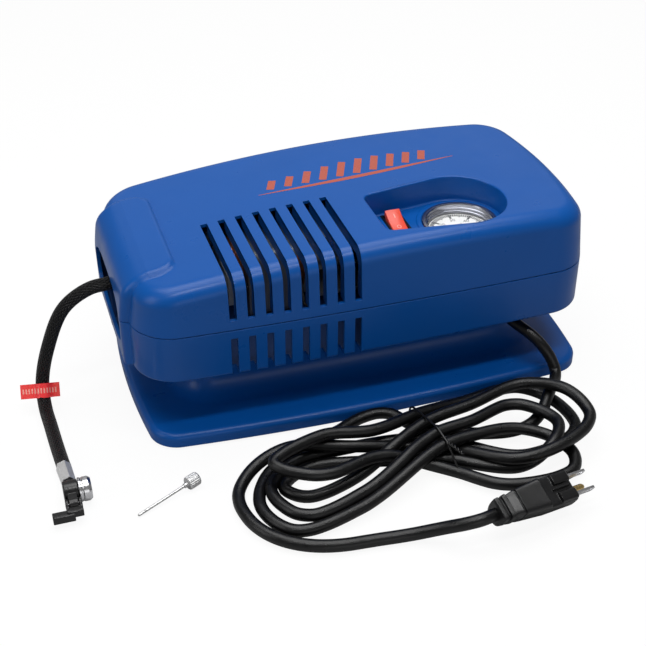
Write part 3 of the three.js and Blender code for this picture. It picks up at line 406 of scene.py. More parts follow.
def join(*parts):
    """Several sets of points and faces as one."""
    verts, faces, start = [], [], 0
    for part_verts, part_faces in parts:
        verts.append(np.asarray(part_verts, float))
        faces += [tuple(i + start for i in face) for face in part_faces]
        start += len(part_verts)
    return np.concatenate(verts), faces


def turns(count):
    """Angles spaced evenly round a full turn."""
    return np.linspace(0, 2 * math.pi, count, endpoint=False)


def circle(center, radius, count):
    """Points round a flat circle."""
    angles = turns(count)
    return np.stack([center[0] + radius * np.cos(angles), center[1] + radius * np.sin(angles)], 1)


def at_height(flat, z):
    """Flat points raised to a height."""
    return np.column_stack([flat, np.full(len(flat), float(z))])


def unit(vector):
    return vector / np.linalg.norm(vector)


def squared(wave, power):
    """A sine or cosine pulled towards its two ends, for outlines between a circle and a square."""
    return np.sign(wave) * np.abs(wave) ** power


def prism(outline, z0, z1):
    """A solid with a flat outline, between two heights."""
    return loft([at_height(outline, z) for z in (z0, z1)])


def box(low, high):
    (x0, y0, z0), (x1, y1, z1) = low, high
    return prism([(x0, y0), (x1, y0), (x1, y1), (x0, y1)], z0, z1)


def turned(profile, center, sides=64):
    """A solid or skin of revolution about a vertical axis, from (radius, height) pairs."""
    rings = [at_height(circle(center, max(radius, 1e-4), sides), height) for radius, height in profile]
    return loft(rings, caps=False)


def turned_about(profile, origin, axis, sides=48):
    """The same about any axis: the profile is (radius, distance along the axis) pairs."""
    verts, faces = turned(profile, (0, 0), sides)
    turn = Vector((0, 0, 1)).rotation_difference(Vector(axis)).to_matrix()
    return verts @ np.array(turn).T + np.asarray(origin, float), faces


def rounded_profile(points, radius, steps=4):
    """A polyline with each inner corner replaced by an arc of about the given radius."""
    points = [np.array(p, float) for p in points]
    out = [points[0]]
    for before, corner, after in zip(points, points[1:], points[2:]):
        back, on = before - corner, after - corner
        reach = min(radius, np.linalg.norm(back) / 2, np.linalg.norm(on) / 2)
        start = corner + back / np.linalg.norm(back) * reach
        end = corner + on / np.linalg.norm(on) * reach
        for t in np.linspace(0, 1, steps + 1):
            out.append((1 - t) ** 2 * start + 2 * t * (1 - t) * corner + t**2 * end)
    out.append(points[-1])
    return out


def cut_with(obj, tool, looks="TRANSFER"):
    """Cuts an object with another, which is then removed. TRANSFER gives the cut faces the tool's look."""
    modifier = obj.modifiers.new("cut", "BOOLEAN")
    modifier.operation = "DIFFERENCE"
    modifier.object = tool
    modifier.solver = "EXACT"
    modifier.material_mode = looks
    settle_modifiers(obj)
    bpy.data.objects.remove(tool)


def cut(obj, part):
    """Cuts a solid given as points and faces out of an object, in the object's own look."""
    cut_with(obj, new_mesh("tool", *part, obj.data.materials[0]), looks="INDEX")


def settle_modifiers(obj):
    """Turns the modified shape into the object's own mesh."""
    graph = bpy.context.evaluated_depsgraph_get()
    mesh = bpy.data.meshes.new_from_object(obj.evaluated_get(graph))
    obj.modifiers.clear()
    obj.data = mesh


# ---------------------------------------------------------------- bowed outlines
def arc(center, start, end, steps, with_ends):
    a0 = math.atan2(start[1] - center[1], start[0] - center[0])
    a1 = math.atan2(end[1] - center[1], end[0] - center[0])
    radius = math.dist(start, center)
    t = np.linspace(0, 1, steps + 1) if with_ends else (np.arange(steps) + 0.5) / steps
    angle = a0 + (a1 - a0) * t
    return np.stack([center[0] + radius * np.cos(angle), center[1] + radius * np.sin(angle)], 1)


def bowed(size, inset):
    """A rectangle with gently bowed sides and round corners, anticlockwise; point i faces point n-1-i."""
    end_steps, corner_steps, side_steps = 40, 24, 110
    a = size["length"] / 2 - inset
    b = size["width"] / 2 - inset
    r = max(size["corner"] - inset, 1.5)
    side_r = (a * a + size["long_bow"] ** 2) / (2 * size["long_bow"])
    end_r = (b * b + size["end_bow"] ** 2) / (2 * size["end_bow"])
    side = np.array([0, b - side_r])
    end = np.array([a - end_r, 0])
    corner = circles_meet(side, side_r - r, end, end_r - r)
    on_side = side + (corner - side) / np.linalg.norm(corner - side) * side_r
    on_end = end + (corner - end) / np.linalg.norm(corner - end) * end_r
    quarter = np.concatenate([
        arc(end, (a, 0), on_end, end_steps, False),
        arc(corner, on_end, on_side, corner_steps, True),
        arc(side, on_side, (0, b), side_steps, False),
    ])
    half = np.concatenate([quarter, (quarter * [-1, 1])[::-1]])
    return np.concatenate([half, (half * [1, -1])[::-1]])


def circles_meet(c0, r0, c1, r1):
    d = np.linalg.norm(c1 - c0)
    along = (r0**2 - r1**2 + d**2) / (2 * d)
    off = math.sqrt(r0**2 - along**2)
    middle = c0 + (c1 - c0) * along / d
    normal = np.array([-(c1 - c0)[1], (c1 - c0)[0]]) / d
    return max([middle + normal * off, middle - normal * off], key=lambda p: p[0] + p[1])


def level(size, inset, z, shift=0.0):
    """A bowed outline at a height, which may be a function of x."""
    flat = bowed(size, inset) + [shift, 0]
    height = z(flat[:, 0]) if callable(z) else np.full(len(flat), float(z))
    return np.column_stack([flat, height])


def paired_cap(ring, z, strips):
    """Rows of points across a ring of the bowed kind, from each point to the one that faces it."""
    n = len(ring)
    rows = []
    for i in range(n // 2):
        t = np.linspace(0, 1, strips + 1)[:, None]
        row = ring[i] * (1 - t) + ring[n - 1 - i] * t
        row[:, 2] = z(row[:, 0]) if callable(z) else z
        rows.append(row)
    return rows


def bowed_solid(rings, z_first, z_last, strips=90):
    """A closed solid through bowed rings, whose two ends are ruled across so that they can be curved."""
    n = len(rings[0])
    verts, faces = loft(rings, caps=False)
    parts = [(verts, faces)]
    for ring, z, flip in ((rings[0], z_first, True), (rings[-1], z_last, False)):
        rows = np.concatenate(paired_cap(ring, z, strips))
        quads = ring_faces(n // 2, strips + 1, closed=False)
        quads = [q if flip else tuple(reversed(q)) for q in quads]
        parts.append((rows, quads))
    return join(*parts)


def weld(obj):
    """Joins points that lie on each other."""
    modifier = obj.modifiers.new("weld", "WELD")
    modifier.merge_threshold = 0.004 * MM
    settle_modifiers(obj)


# ---------------------------------------------------------------- housing
def top_z(x):
    return TOP_HIGH_Z - TOP_FALL * (x - TOP_HIGH_X) ** 2


def body_level(inset, z):
    """An outline of the housing at a height, which may be a function of x."""
    return level(BODY, inset, z, BODY_SHIFT_X)


def upper_rings(thickness, bottom):
    """The upper shell's outside, or its inside when a thickness is given, from the seam to the top's edge."""
    rings = [body_level(thickness, bottom)]
    if not thickness:
        rings = [body_level(SEAM_CHAMFER, bottom), body_level(0, bottom + SEAM_CHAMFER)]
    for share in (0.25, 0.5, 0.75):
        inset = thickness + TOP_DRAFT * share
        rings.append(body_level(inset, lambda x, s=share: bottom + s * (top_z(x) - TOP_EDGE_R - bottom)))
    for t in np.radians(np.linspace(0, 90, 12)):
        inset = TOP_DRAFT + TOP_EDGE_R * (1 - math.cos(t)) + thickness * math.cos(t)
        drop = TOP_EDGE_R * (1 - math.sin(t)) + thickness
        rings.append(body_level(inset, lambda x, d=drop: top_z(x) - d))
    return rings


def upper_solid(thickness, bottom):
    return bowed_solid(upper_rings(thickness, bottom), bottom, lambda x: top_z(x) - thickness)


def lower_solid(thickness, top):
    bottom = BODY_BOTTOM_Z + thickness
    rings = []
    for t in np.radians(np.linspace(90, 0, 7)):
        inset = thickness + LOWER_EDGE_R * (1 - math.cos(t))
        rings.append(body_level(inset, bottom + LOWER_EDGE_R * (1 - math.sin(t))))
    if not thickness:
        rings.append(body_level(0, top - SEAM_CHAMFER))
        rings.append(body_level(SEAM_CHAMFER, top))
    else:
        rings.append(body_level(thickness, top))
    return bowed_solid(rings, bottom, top)


def hood_profile():
    """The hood's closed outline in X and Z: over the ridge, down the end, and back inside the body."""
    edge, end, rise = HOOD["ridge_x"], HOOD["end_x"], HOOD["rise"]
    shoulder = (edge - 20, top_z(edge - 20) + rise)
    ridge = [(edge + 7, 30), (edge + 6, top_z(edge) - 6), (edge, top_z(edge) + rise), shoulder]
    slope = [
        shoulder,
        (end + 13, top_z(end + 14) + rise - 2.0),
        (end + 3.0, top_z(end) - 5),
        (end + 0.6, top_z(end) - 22),
        (end, SEAM_Z),
        (end + 0.8, 30.0),
    ]
    return np.array(rounded_profile(ridge, 2.5, 6) + rounded_profile(slope, 10, 8)[1:])


def outline_distance(points, outline):
    """Signed distance from flat points to a closed outline, negative inside it."""
    nearest = np.full(len(points), 1e9)
    inside = np.zeros(len(points), bool)
    for a, b in zip(outline, np.roll(outline, -1, axis=0)):
        edge = b - a
        away = points - a
        share = np.clip(away @ edge / max(edge @ edge, 1e-9), 0, 1)
        nearest = np.minimum(nearest, np.linalg.norm(away - share[:, None] * edge, axis=1))
        if a[1] != b[1]:
            crosses = (a[1] > points[:, 1]) != (b[1] > points[:, 1])
            inside ^= crosses & (points[:, 0] < a[0] + edge[0] * (points[:, 1] - a[1]) / edge[1])
    return np.where(inside, -nearest, nearest)


def hood_distance(points, outline):
    """Signed distance to the hood: its outline drawn across the housing, with corners round in plan."""
    roll, corner = HOOD["edge_r"], HOOD["corner"]
    flat = outline_distance(points[:, [0, 2]], outline) + roll
    along = points[:, 0] - HOOD["ridge_x"] - 2 + corner
    across = np.abs(points[:, 1]) - HOOD["half"] + corner
    side = np.minimum(np.maximum(along, across), 0) + np.hypot(np.maximum(along, 0), np.maximum(across, 0))
    side += roll - corner
    return np.minimum(np.maximum(flat, side), 0) + np.hypot(np.maximum(flat, 0), np.maximum(side, 0)) - roll


def raise_hood(obj, thickness, cap_z):
    """Pushes a shell's skin out to the hood wherever the hood stands proud, with a soft valley round it.

    The flat face at the seam, at cap_z, keeps its height.
    """
    mesh = obj.data
    points = np.array([v.co for v in mesh.vertices]) / MM - PLACE
    normals = np.array([v.normal for v in mesh.vertices])
    on_cap = np.abs(points[:, 2] - cap_z) < 0.5
    inside_cap = on_cap & (np.hypot(normals[:, 0], normals[:, 1]) < 0.3)
    normals[on_cap & ~inside_cap, 2] = 0
    normals /= np.linalg.norm(normals, axis=1)[:, None]
    near = np.where((points[:, 0] < HOOD["ridge_x"] + 16) & (normals[:, 2] > -0.5) & ~inside_cap)[0]
    outline = hood_profile()
    start, out = points[near], normals[near]
    reach = np.zeros(len(near))
    steps, deepest, highest = 14, -6, 9
    for _ in range(steps):
        reach -= hood_distance(start + out * reach[:, None], outline) + thickness
        reach = np.clip(reach, deepest, highest)
    k = HOOD["blend"]
    share = np.clip(0.5 + 0.5 * reach / k, 0, 1)
    reach = reach * share + k * share * (1 - share)
    points[near] = start + out * reach[:, None]
    mesh.vertices.foreach_set("co", ((points + PLACE) * MM).ravel())
    mesh.update()


def slot_cutters(z0, z1, inner_y):
    """A block for each slot, from in front of the housing to a depth."""
    cuts = []
    half = SLOTS["width"] / 2
    for i in range(SLOTS["count"]):
        x = SLOTS["first_x"] + i * SLOTS["pitch"]
        cuts.append(box((x - half, -120, z0), (x + half, inner_y, z1)))
    return join(*cuts)


def slot_fins():
    """Plates under the upper shell that carry each slot's side deeper than the wall."""
    fins = []
    depth = 7.5
    face = BODY["width"] / 2 - TOP_DRAFT
    for i in range(SLOTS["count"]):
        x = SLOTS["first_x"] + i * SLOTS["pitch"] + SLOTS["width"] / 2
        top = top_z(x) - 1.0
        outline = [
            (0.8 - face, SLOTS["high_bottom"]),
            (depth - face, SLOTS["high_bottom"]),
            (depth - face, top - depth - 5),
            (depth + 5 - face, top - depth),
            (SLOT_INNER_Y["upper"], top - depth),
            (SLOT_INNER_Y["upper"], top),
            (TOP_EDGE_R - face, top),
            (4.2 - face, top - 3.4),
            (0.8 - face, top - TOP_EDGE_R),
        ]
        fins.append(loft([np.array([(px, y, z) for y, z in outline]) for px in (x, x + 1.4)]))
    return join(*fins)


def end_cutter():
    """The tall rounded opening in the hose end."""
    half, low, high = END_OPENING["half"], END_OPENING["bottom"], END_OPENING["top"]
    t = turns(64)
    power = 0.62
    across = squared(np.cos(t), power) * half
    height = (low + high) / 2 + squared(np.sin(t), power) * (high - low) / 2
    rings = [np.column_stack([np.full(len(t), x), across, height]) for x in (-200.0, -140.0)]
    return loft(rings)


def recess_outline(offset):
    """The gauge recess seen from above: square at the left, round at the right, anticlockwise."""
    r = RECESS["radius"] + offset
    left = RECESS["left"] - offset
    half = RECESS["half"] + offset
    cy = RECESS["axis_y"]
    corner = 7 + max(offset, -3.5)
    turn = math.pi / 2 + math.asin((r - half) / (RECESS["round_x"] - left))
    angles = np.linspace(-turn, turn, 52)
    right = np.stack([RECESS["round_x"] + r * np.cos(angles), cy + r * np.sin(angles)], 1)
    t = np.linspace(0, math.pi / 2, 8)
    upper = np.stack([left + corner * (1 - np.sin(t)), cy + half - corner * (1 - np.cos(t))], 1)
    lower = (upper * [1, -1])[::-1] + [0, 2 * cy]
    return np.concatenate([right, upper, lower])


def recess_tray():
    """The recess's rolled lip, wall, floor fillet and floor, as a skin with thickness behind it."""
    lip, fillet = RECESS_LIP_R, RECESS_FILLET_R
    bottom = RECESS["floor_z"]

    def ring(offset, z):
        """The outline at a height. A z under 5 is measured from the curved top."""
        flat = recess_outline(offset)
        height = top_z(flat[:, 0]) + z if z < 5 else np.full(len(flat), float(z))
        return np.column_stack([flat, height])

    rings = [ring(lip, -2.2)]
    for t in np.radians(np.linspace(90, 0, 6)):
        rings.append(ring(lip * (1 - math.cos(t)), -lip * (1 - math.sin(t))))
    for t in np.radians(np.linspace(0, 90, 6)):
        rings.append(ring(-fillet * (1 - math.cos(t)), bottom + fillet * (1 - math.sin(t))))
    inner = recess_outline(-fillet)
    middle = inner.mean(0)
    for share, z in ((0.85, bottom), (0.5, bottom), (0.02, bottom), (0.02, bottom - WALL)):
        rings.append(at_height(middle + (inner - middle) * share, z))
    rings.append(ring(2.2, bottom - WALL))
    verts, faces = loft(rings, caps=False)
    count = len(rings[0])
    last = len(rings) - 1
    faces += [(last * count + i, last * count + (i + 1) % count, (i + 1) % count, i) for i in range(count)]
    return verts, [tuple(reversed(face)) for face in faces]


def hooded(name, solid, thickness, edge_z, look):
    """One half of the housing as a solid, with its share of the hood."""
    made = new_mesh(name, *solid(thickness, edge_z), look)
    weld(made)
    raise_hood(made, thickness, edge_z)
    return made


def hollow_half(name, solid, edge_z, beyond):
    """One half of the housing with its inside cut away. The cutter runs on beyond the seam."""
    shell = hooded(name, solid, 0.0, edge_z, LOOKS["housing_blue"])
    # The cut faces take the cutter's darker look: painted shade inside the housing and its slots.
    cut_with(shell, hooded("hollow", solid, WALL, edge_z + beyond, SHELL_INSIDE_PAINTED_SHADE))
    return shell


def upper_shell():
    blue = LOOKS["housing_blue"]
    shell = hollow_half("upper_shell_form", upper_solid, SEAM_Z + SEAM_HALF_GAP, -5)
    cut(shell, slot_cutters(SLOTS["high_bottom"], 160.0, SLOT_INNER_Y["upper"]))
    cut(shell, end_cutter())
    cut(shell, prism(recess_outline(RECESS_LIP_R), 100.0, 150.0))
    tray = new_mesh("tray", *recess_tray(), blue)
    weld(tray)
    cut(tray, prism(circle(GAUGE_AT, GAUGE_HOLE_R, 72), 100.0, 130.0))
    x, y = ROCKER["x"], ROCKER["y"]
    cut(tray, box((x - 8, y - 15.5, 100), (x + 8, y + 15.5, 130)))
    z = RECESS["floor_z"]
    lip = rounded_profile([(32.2, z - 0.4), (31.6, z + 0.9), (28.2, z + 0.9), (28.0, z - 1)], 0.7)
    surround = new_mesh("surround", *turned(lip, GAUGE_AT), blue)
    fins = new_mesh("fins", *slot_fins(), blue)
    made = merge("upper_shell_detail", shell, tray, surround, fins)
    soften(made, 32)
    stands_for(made, "upper_shell")


def merge(name, first, *others):
    """Makes several objects one, under a new name."""
    bpy.ops.object.select_all(action="DESELECT")
    for obj in (first, *others):
        obj.select_set(True)
    bpy.context.view_layer.objects.active = first
    bpy.ops.object.join()
    first.name = name
    return first


def lower_shell():
    shell = hollow_half("lower_shell_detail", lower_solid, SEAM_Z - SEAM_HALF_GAP, 5)
    cut(shell, slot_cutters(40.0, SLOTS["low_top"], SLOT_INNER_Y["lower"]))
    cut(shell, end_cutter())
    soften(shell, 32)
    stands_for(shell, "lower_shell")


def base_pedestal():
    """The flat foot with a rolled rim, and the neck that flares up from it to the housing."""
    neck_top = BODY_BOTTOM_Z - 0.3
    rings = [level(BASE, inset, BASE_BOTTOM_Z + rise) for inset, rise in ((3.5, 0), (0.8, 0), (0, 0.8))]
    for t in np.radians(np.linspace(0, 90, 9)):
        inset = BASE_EDGE_R * (1 - math.cos(t))
        rings.append(level(BASE, inset, BASE_TOP_Z - BASE_EDGE_R * (1 - math.sin(t))))
    rings.append(level(BASE, 9, BASE_TOP_Z + 0.1))
    for t in np.radians(np.linspace(0, 90, 10)):
        inset = -NECK_FLARE_R * (1 - math.sin(t))
        rings.append(level(NECK, inset, BASE_TOP_Z + NECK_FLARE_R * (1 - math.cos(t))))
    rings.append(level(NECK, 0, neck_top))
    form = bowed_solid(rings, BASE_BOTTOM_Z, neck_top, 8)
    base = new_mesh("base_pedestal_detail", *form, LOOKS["housing_blue"])
    weld(base)
    soften(base, 32)
    stands_for(base, "base_pedestal")


# ---------------------------------------------------------------- print on the top
def ribbon(center_line, width):
    """A flat printed stroke on the top face, along a line of (x, y), tapering as the width function says."""
    lift = 0.08
    line = np.array(center_line, float)
    count = len(line)
    tangent = np.gradient(line, axis=0)
    tangent /= np.linalg.norm(tangent, axis=1)[:, None]
    normal = np.stack([-tangent[:, 1], tangent[:, 0]], 1)
    share = np.linspace(0, 1, count)
    reach = np.array([width(t) for t in share])[:, None] / 2
    verts = []
    for side in (-1, 1):
        flat = line + normal * reach * side
        verts.append(np.column_stack([flat, top_z(flat[:, 0]) + lift]))
    return np.concatenate(verts), [(i, i + 1, count + i + 1, count + i) for i in range(count - 1)]


def top_graphic():
    """A plain device of slanted bars over a tapering sweep: no letters and no mark."""
    t = np.linspace(0, 1, 48)
    sweep = np.stack([-58 + 156 * t, 15.5 + 9.0 * t - 5.0 * np.sin(math.pi * t)], 1)
    strokes = [ribbon(sweep, lambda s: 0.6 + 3.6 * math.sin(math.pi * s) ** 1.2)]
    for i in range(10):
        x = -48 + i * 13.4
        height = 17 + 5 * math.cos((i - 5) * 0.55)
        foot = np.interp(x, sweep[:, 0], sweep[:, 1]) + 5.0
        slanted = np.stack([x + 0.4 * height * t, foot + height * t], 1)
        strokes.append(ribbon(slanted, lambda s: 5.6))
    return rides_with(new_mesh("top_graphic", *join(*strokes), INK_RED), "upper_shell")


# ---------------------------------------------------------------- gauge
def on_dial(radius, share, z):
    angle = math.radians(SWEEP_START - SWEEP * share)
    return np.array([GAUGE_AT[0] + radius * math.cos(angle), GAUGE_AT[1] + radius * math.sin(angle), z])


def gauge_metal():
    rim = [
        (23.6, 111.5), (23.6, 113.2), (24.1, 113.5), (24.1, 115.6), (24.6, 115.9),
        (24.6, 118.2), (25.1, 118.9), (26.1, 119.1), (27.3, 118.9), (27.8, 118.3),
        (27.8, 117.7), (25.5, 117.6), (25.5, 111.5), (23.6, 111.5),
    ]
    detail("gauge_rim", turned(rim, GAUGE_AT, 96), RIM_STEEL, 25)
    case = [(5, 88), (25.5, 88), (25.5, 117.2), (24.8, 117.2), (24.8, 89), (5, 89), (5, 88)]
    detail("gauge_case", turned(rounded_profile(case, 1.2), GAUGE_AT, 96), LOOKS["steel"])


def gauge_dial():
    under = DIAL_Z - 0.8
    face = [(1.6, under), (24, under), (24, DIAL_Z), (1.6, DIAL_Z), (1.6, under)]
    detail("gauge_dial", turned(face, GAUGE_AT, 96), LOOKS["dial_white"])
    z = DIAL_Z + 0.03
    outer = 22.0
    marks = []
    for i in range(61):
        inner, half = 18.8, 0.5
        if i % 10 == 0:
            inner, half = 16.0, 0.8
        elif i % 5 == 0:
            inner = 17.6
        corners = []
        for radius, side in ((inner, -1), (outer, -1), (outer, 1), (inner, 1)):
            aside = side * half / (2 * math.pi * radius) * 360 / SWEEP
            corners.append(on_dial(radius, i / 60 + aside, z))
        marks.append((np.array(corners), [(3, 2, 1, 0)]))
    # A thin black ring drawn on the dial just inside its rim.
    marks.append(turned([(22.7, z), (23.5, z)], GAUGE_AT, 96))
    rides_with(new_mesh("dial_marks", *join(*marks), INK_BLACK_AND_HOLE_SHADE), "gauge_dial")
    for i in range(7):
        numeral(f"dial_number_{i}", str(i * 10), on_dial(13.4, i / 6, z), 4.6)


def numeral(name, digits, spot, size):
    """A number laid flat at a spot on the dial."""
    curve = bpy.data.curves.new(name, "FONT")
    curve.body = digits
    curve.size = size * MM
    curve.align_x = "CENTER"
    curve.align_y = "CENTER"
    curve.resolution_u = 3
    text = bpy.data.objects.new(name + "_text", curve)
    bpy.context.scene.collection.objects.link(text)
    graph = bpy.context.evaluated_depsgraph_get()
    mesh = bpy.data.meshes.new_from_object(text.evaluated_get(graph))
    bpy.data.objects.remove(text)
    mesh.transform(Matrix.Translation(Vector(np.array(spot) + PLACE) * MM))
    mesh.materials.clear()
    mesh.materials.append(INK_BLACK_AND_HOLE_SHADE)
    obj = bpy.data.objects.new(name, mesh)
    bpy.context.scene.collection.objects.link(obj)
    rides_with(obj, "gauge_dial")


def gauge_pointer():
    angle = math.radians(SWEEP_START)
    z = DIAL_Z + 1.2
    outline = [(-5.5, -1.3), (0, -1.0), (18.4, -0.25), (18.4, 0.25), (0, 1.0), (-5.5, 1.3)]
    turn = np.array([[math.cos(angle), -math.sin(angle)], [math.sin(angle), math.cos(angle)]])
    hand = prism(np.array(outline) @ turn.T + GAUGE_AT, z, z + 0.5)
    hub = [(0, z - 2), (0.9, z - 2), (0.9, z - 0.3), (2.4, z - 0.3), (2.4, z + 1.4), (0, z + 1.4)]
    hub = turned(rounded_profile(hub, 0.4), GAUGE_AT, 32)
    detail("gauge_pointer", join(hand, hub), LOOKS["plastic_black"])


def gauge_lens():
    profile = rounded_profile([(0, 116.2), (23.2, 116.2), (23.2, 117.2), (0, 117.7)], 0.3)
    detail("gauge_lens", turned(profile, GAUGE_AT, 96), LOOKS["lens"])


# ---------------------------------------------------------------- switch
def rocker_frame():
    turn = Matrix.Rotation(math.radians(ROCKER["tilt"]), 4, "X")
    return Matrix.Translation(Vector((ROCKER["x"], ROCKER["y"], ROCKER["z"]))) @ turn


def placed(part, matrix):
    verts, faces = part
    m = np.array(matrix)
    return np.asarray(verts, float) @ m[:3, :3].T + m[:3, 3], faces


def rocker_top(y):
    """Height of the rocker's dished face above its pivot."""
    return 2.0 + 1.4 * (y / ROCKER["half"]) ** 2


def rocker():
    half, width = ROCKER["half"], ROCKER["width"] / 2
    top_points = 25
    outline = [(y, rocker_top(y)) for y in np.linspace(-half, half, top_points)]
    outline += [(half, -0.5), (4, -4.5), (-4, -4.5), (-half, -0.5)]
    rings = []
    sections = [(-width, 0.5), (-width + 0.15, 0.2), (-width + 0.5, 0)]
    for x, inset in sections + [(-x, inset) for x, inset in reversed(sections)]:
        shrink = np.array(outline) * [1 - inset / half, 1]
        shrink[:top_points, 1] -= inset
        rings.append(np.column_stack([np.full(len(outline), x), shrink]))
    detail("switch_rocker", placed(loft(rings), rocker_frame()), LOOKS["rocker_red"], 40)
    lift = 0.06
    bar_half = 0.35
    y0, y1 = 5.6, 9.2
    on_mark = [(-bar_half, y0), (bar_half, y0), (bar_half, y1), (-bar_half, y1)]
    on_verts = np.array([(x, y, rocker_top(y) + lift) for x, y in on_mark])
    t = turns(32)
    rings = []
    for scale in (1.3, 1.9):
        y = OFF_MARK_Y + scale * np.sin(t)
        rings.append(np.column_stack([scale * 0.85 * np.cos(t), y, rocker_top(y) + lift]))
    off_mark = loft(rings, caps=False)
    marks = join((on_verts, [(0, 1, 2, 3)]), off_mark)
    printed_on = new_mesh("rocker_marks", *placed(marks, rocker_frame()), INK_PALE)
    rides_with(printed_on, "switch_rocker")


def switch_body():
    x, y = ROCKER["x"], ROCKER["y"]
    outside = box((x - 7.7, y - 15.2, 96), (x + 7.7, y + 15.2, RECESS["floor_z"] + 0.6))
    body = new_mesh("switch_body_detail", *outside, LOOKS["plastic_black"])
    cut(body, box((x - 6.1, y - 14, 106), (x + 6.1, y + 14, 130)))
    bevel(body, 0.3)
    stands_for(body, "switch_body")


def bevel(obj, width):
    """Rounds the sharp edges of a piece."""
    modifier = obj.modifiers.new("round", "BEVEL")
    modifier.width = width * MM
    modifier.segments = 3
    modifier.limit_method = "ANGLE"
    modifier.angle_limit = math.radians(35)
    settle_modifiers(obj)
    soften(obj, 50)


# ---------------------------------------------------------------- tubes along the frame's own lines
def tube_line(node, radius):
    """The centre line of a tube in the frame: the middles of its rings, from the end that lies inside."""
    mesh = NODES[node].data
    points = cad_points(node)
    keys, index = {}, []
    for point in np.round(points, 2):
        index.append(keys.setdefault(tuple(point), len(keys)))
    index = np.array(index)
    unique = np.array(list(keys))
    faces = [sorted({int(index[v]) for v in polygon.vertices}) for polygon in mesh.polygons]
    near = [set() for _ in unique]
    for face in faces:
        for v in face:
            near[v].update(face)
    start = int(np.argmax(unique[:, 0] * 0.2 + unique[:, 2]))
    ring = first_ring(unique, faces, start, radius)
    seen, line = set(), []
    while ring:
        line.append(unique[sorted(ring)].mean(0))
        seen |= ring
        ring = set().union(*(near[v] for v in ring)) - seen
    return np.array(line)


def first_ring(points, faces, start, radius):
    """The points of the flat end that holds the start point."""
    best = set()
    close = np.where(np.linalg.norm(points - points[start], axis=1) < 2 * radius + 0.3)[0]
    for face in faces:
        if start not in face or len(face) < 3:
            continue
        a, b, c = points[face[:3]]
        normal = np.cross(b - a, c - a)
        if np.linalg.norm(normal) < 1e-9:
            continue
        off = np.abs((points[close] - a) @ (normal / np.linalg.norm(normal)))
        ring = set(int(i) for i in close[off < 0.05])
        if len(ring) > len(best):
            best = ring
    return best


def run_lengths(line):
    """How far along a line each of its points lies."""
    return np.concatenate([[0], np.cumsum(np.linalg.norm(np.diff(line, axis=0), axis=1))])


def smooth_line(line, step):
    """A Catmull-Rom curve through a line of points, at an even spacing."""
    p = np.concatenate([[2 * line[0] - line[1]], line, [2 * line[-1] - line[-2]]])
    t = np.linspace(0, 1, 9)[:-1, None]
    parts = []
    for a, b, c, d in zip(p, p[1:], p[2:], p[3:]):
        parts.append(0.5 * (2 * b + (c - a) * t + (2 * a - 5 * b + 4 * c - d) * t**2
                            + (3 * b - a - 3 * c + d) * t**3))
    fine = np.concatenate([*parts, line[-1:]])
    gone = run_lengths(fine)
    even = np.linspace(0, gone[-1], max(2, int(gone[-1] / step)))
    return np.stack([np.interp(even, gone, fine[:, k]) for k in range(3)], 1)


def tube(name, line, radius, look, sides):
    """A round tube with a UV map: U is metres along it and V is turns round it."""
    tangent = np.gradient(line, axis=0)
    tangent /= np.linalg.norm(tangent, axis=1)[:, None]
    across = np.cross(tangent[0], (0.31, 0.17, 0.94))
    angles = turns(sides)
    rings = []
    for point, along in zip(line, tangent):
        across = unit(across - along * (across @ along))
        side = np.cross(along, across)
        rings.append(point + radius * (np.outer(np.cos(angles), across) + np.outer(np.sin(angles), side)))
    obj = new_mesh(name, *loft(rings), look, 60)
    gone = run_lengths(line) * MM
    layer = obj.data.uv_layers.new(name="along_round")
    for polygon in obj.data.polygons:
        for corner in polygon.loop_indices:
            vertex = obj.data.loops[corner].vertex_index
            turn = (vertex % sides) / sides
            at_join = any(v % sides == sides - 1 for v in polygon.vertices)
            if len(polygon.vertices) == 4 and turn == 0 and at_join:
                turn = 1.0
            layer.data[corner].uv = (gone[vertex // sides], turn)
    return obj


# ---------------------------------------------------------------- hose, tag and chuck
def hose():
    line = smooth_line(tube_line("hose", HOSE_R), 1.5)
    stands_for(tube("hose_detail", line, HOSE_R, LOOKS["hose_braid"], 32), "hose")
    return line


def hose_tag(line):
    """Red film folded round the hose and pressed together beyond it, its two ends standing off sideways."""
    low, high = node_box("hose_tag")
    inside = [i for i, p in enumerate(line) if low[2] + 4.5 < p[2] < high[2] - 3.5 and p[0] < -225]
    part = line[inside[0]: inside[-1] + 1]
    middle = part[len(part) // 2]
    half = np.linalg.norm(part[0] - part[-1]) / 2
    up = unit(part[0] - part[-1])
    across = unit(np.array([1.0, 0, 0]) - up * up[0])
    front = np.cross(across, up)
    front *= -np.sign(front[1])
    out = HOSE_R + 0.7
    left, right = middle[0] - low[0], high[0] - middle[0]

    def strip(facing, lift, heights, start=-left, end=right, steps=60):
        """A sheet over the hose's front (facing 1) or back (-1), between the given heights and places."""
        rows = []
        for x in np.linspace(start, end, steps):
            round_hose = math.sqrt(out ** 2 - min(abs(x), out * 0.9) ** 2)
            bulge = round_hose * math.exp(-max(abs(x) - out * 0.9, 0) / 1.6)
            foot = middle + across * x + front * (facing * (bulge + lift) + 0.5 * math.sin(x * 0.5))
            rows.append(np.array([foot + up * h for h in heights]))
        return np.concatenate(rows), ring_faces(steps, len(heights), closed=False)

    heights = np.linspace(-half, half, 8)
    band = join(strip(1, 0.2, heights), strip(-1, 0.2, heights))
    detail("hose_tag", band, LOOKS["tag_red"])
    rows = (-0.35 * half, 0.35 * half)
    hatch = [strip(1, 0.32, rows, x, x + 1.0, 3) for x in np.arange(1.5 - left, right - 2, 2.1)]
    rides_with(new_mesh("hose_tag_hatch", *join(*hatch), INK_PALE), "hose_tag")


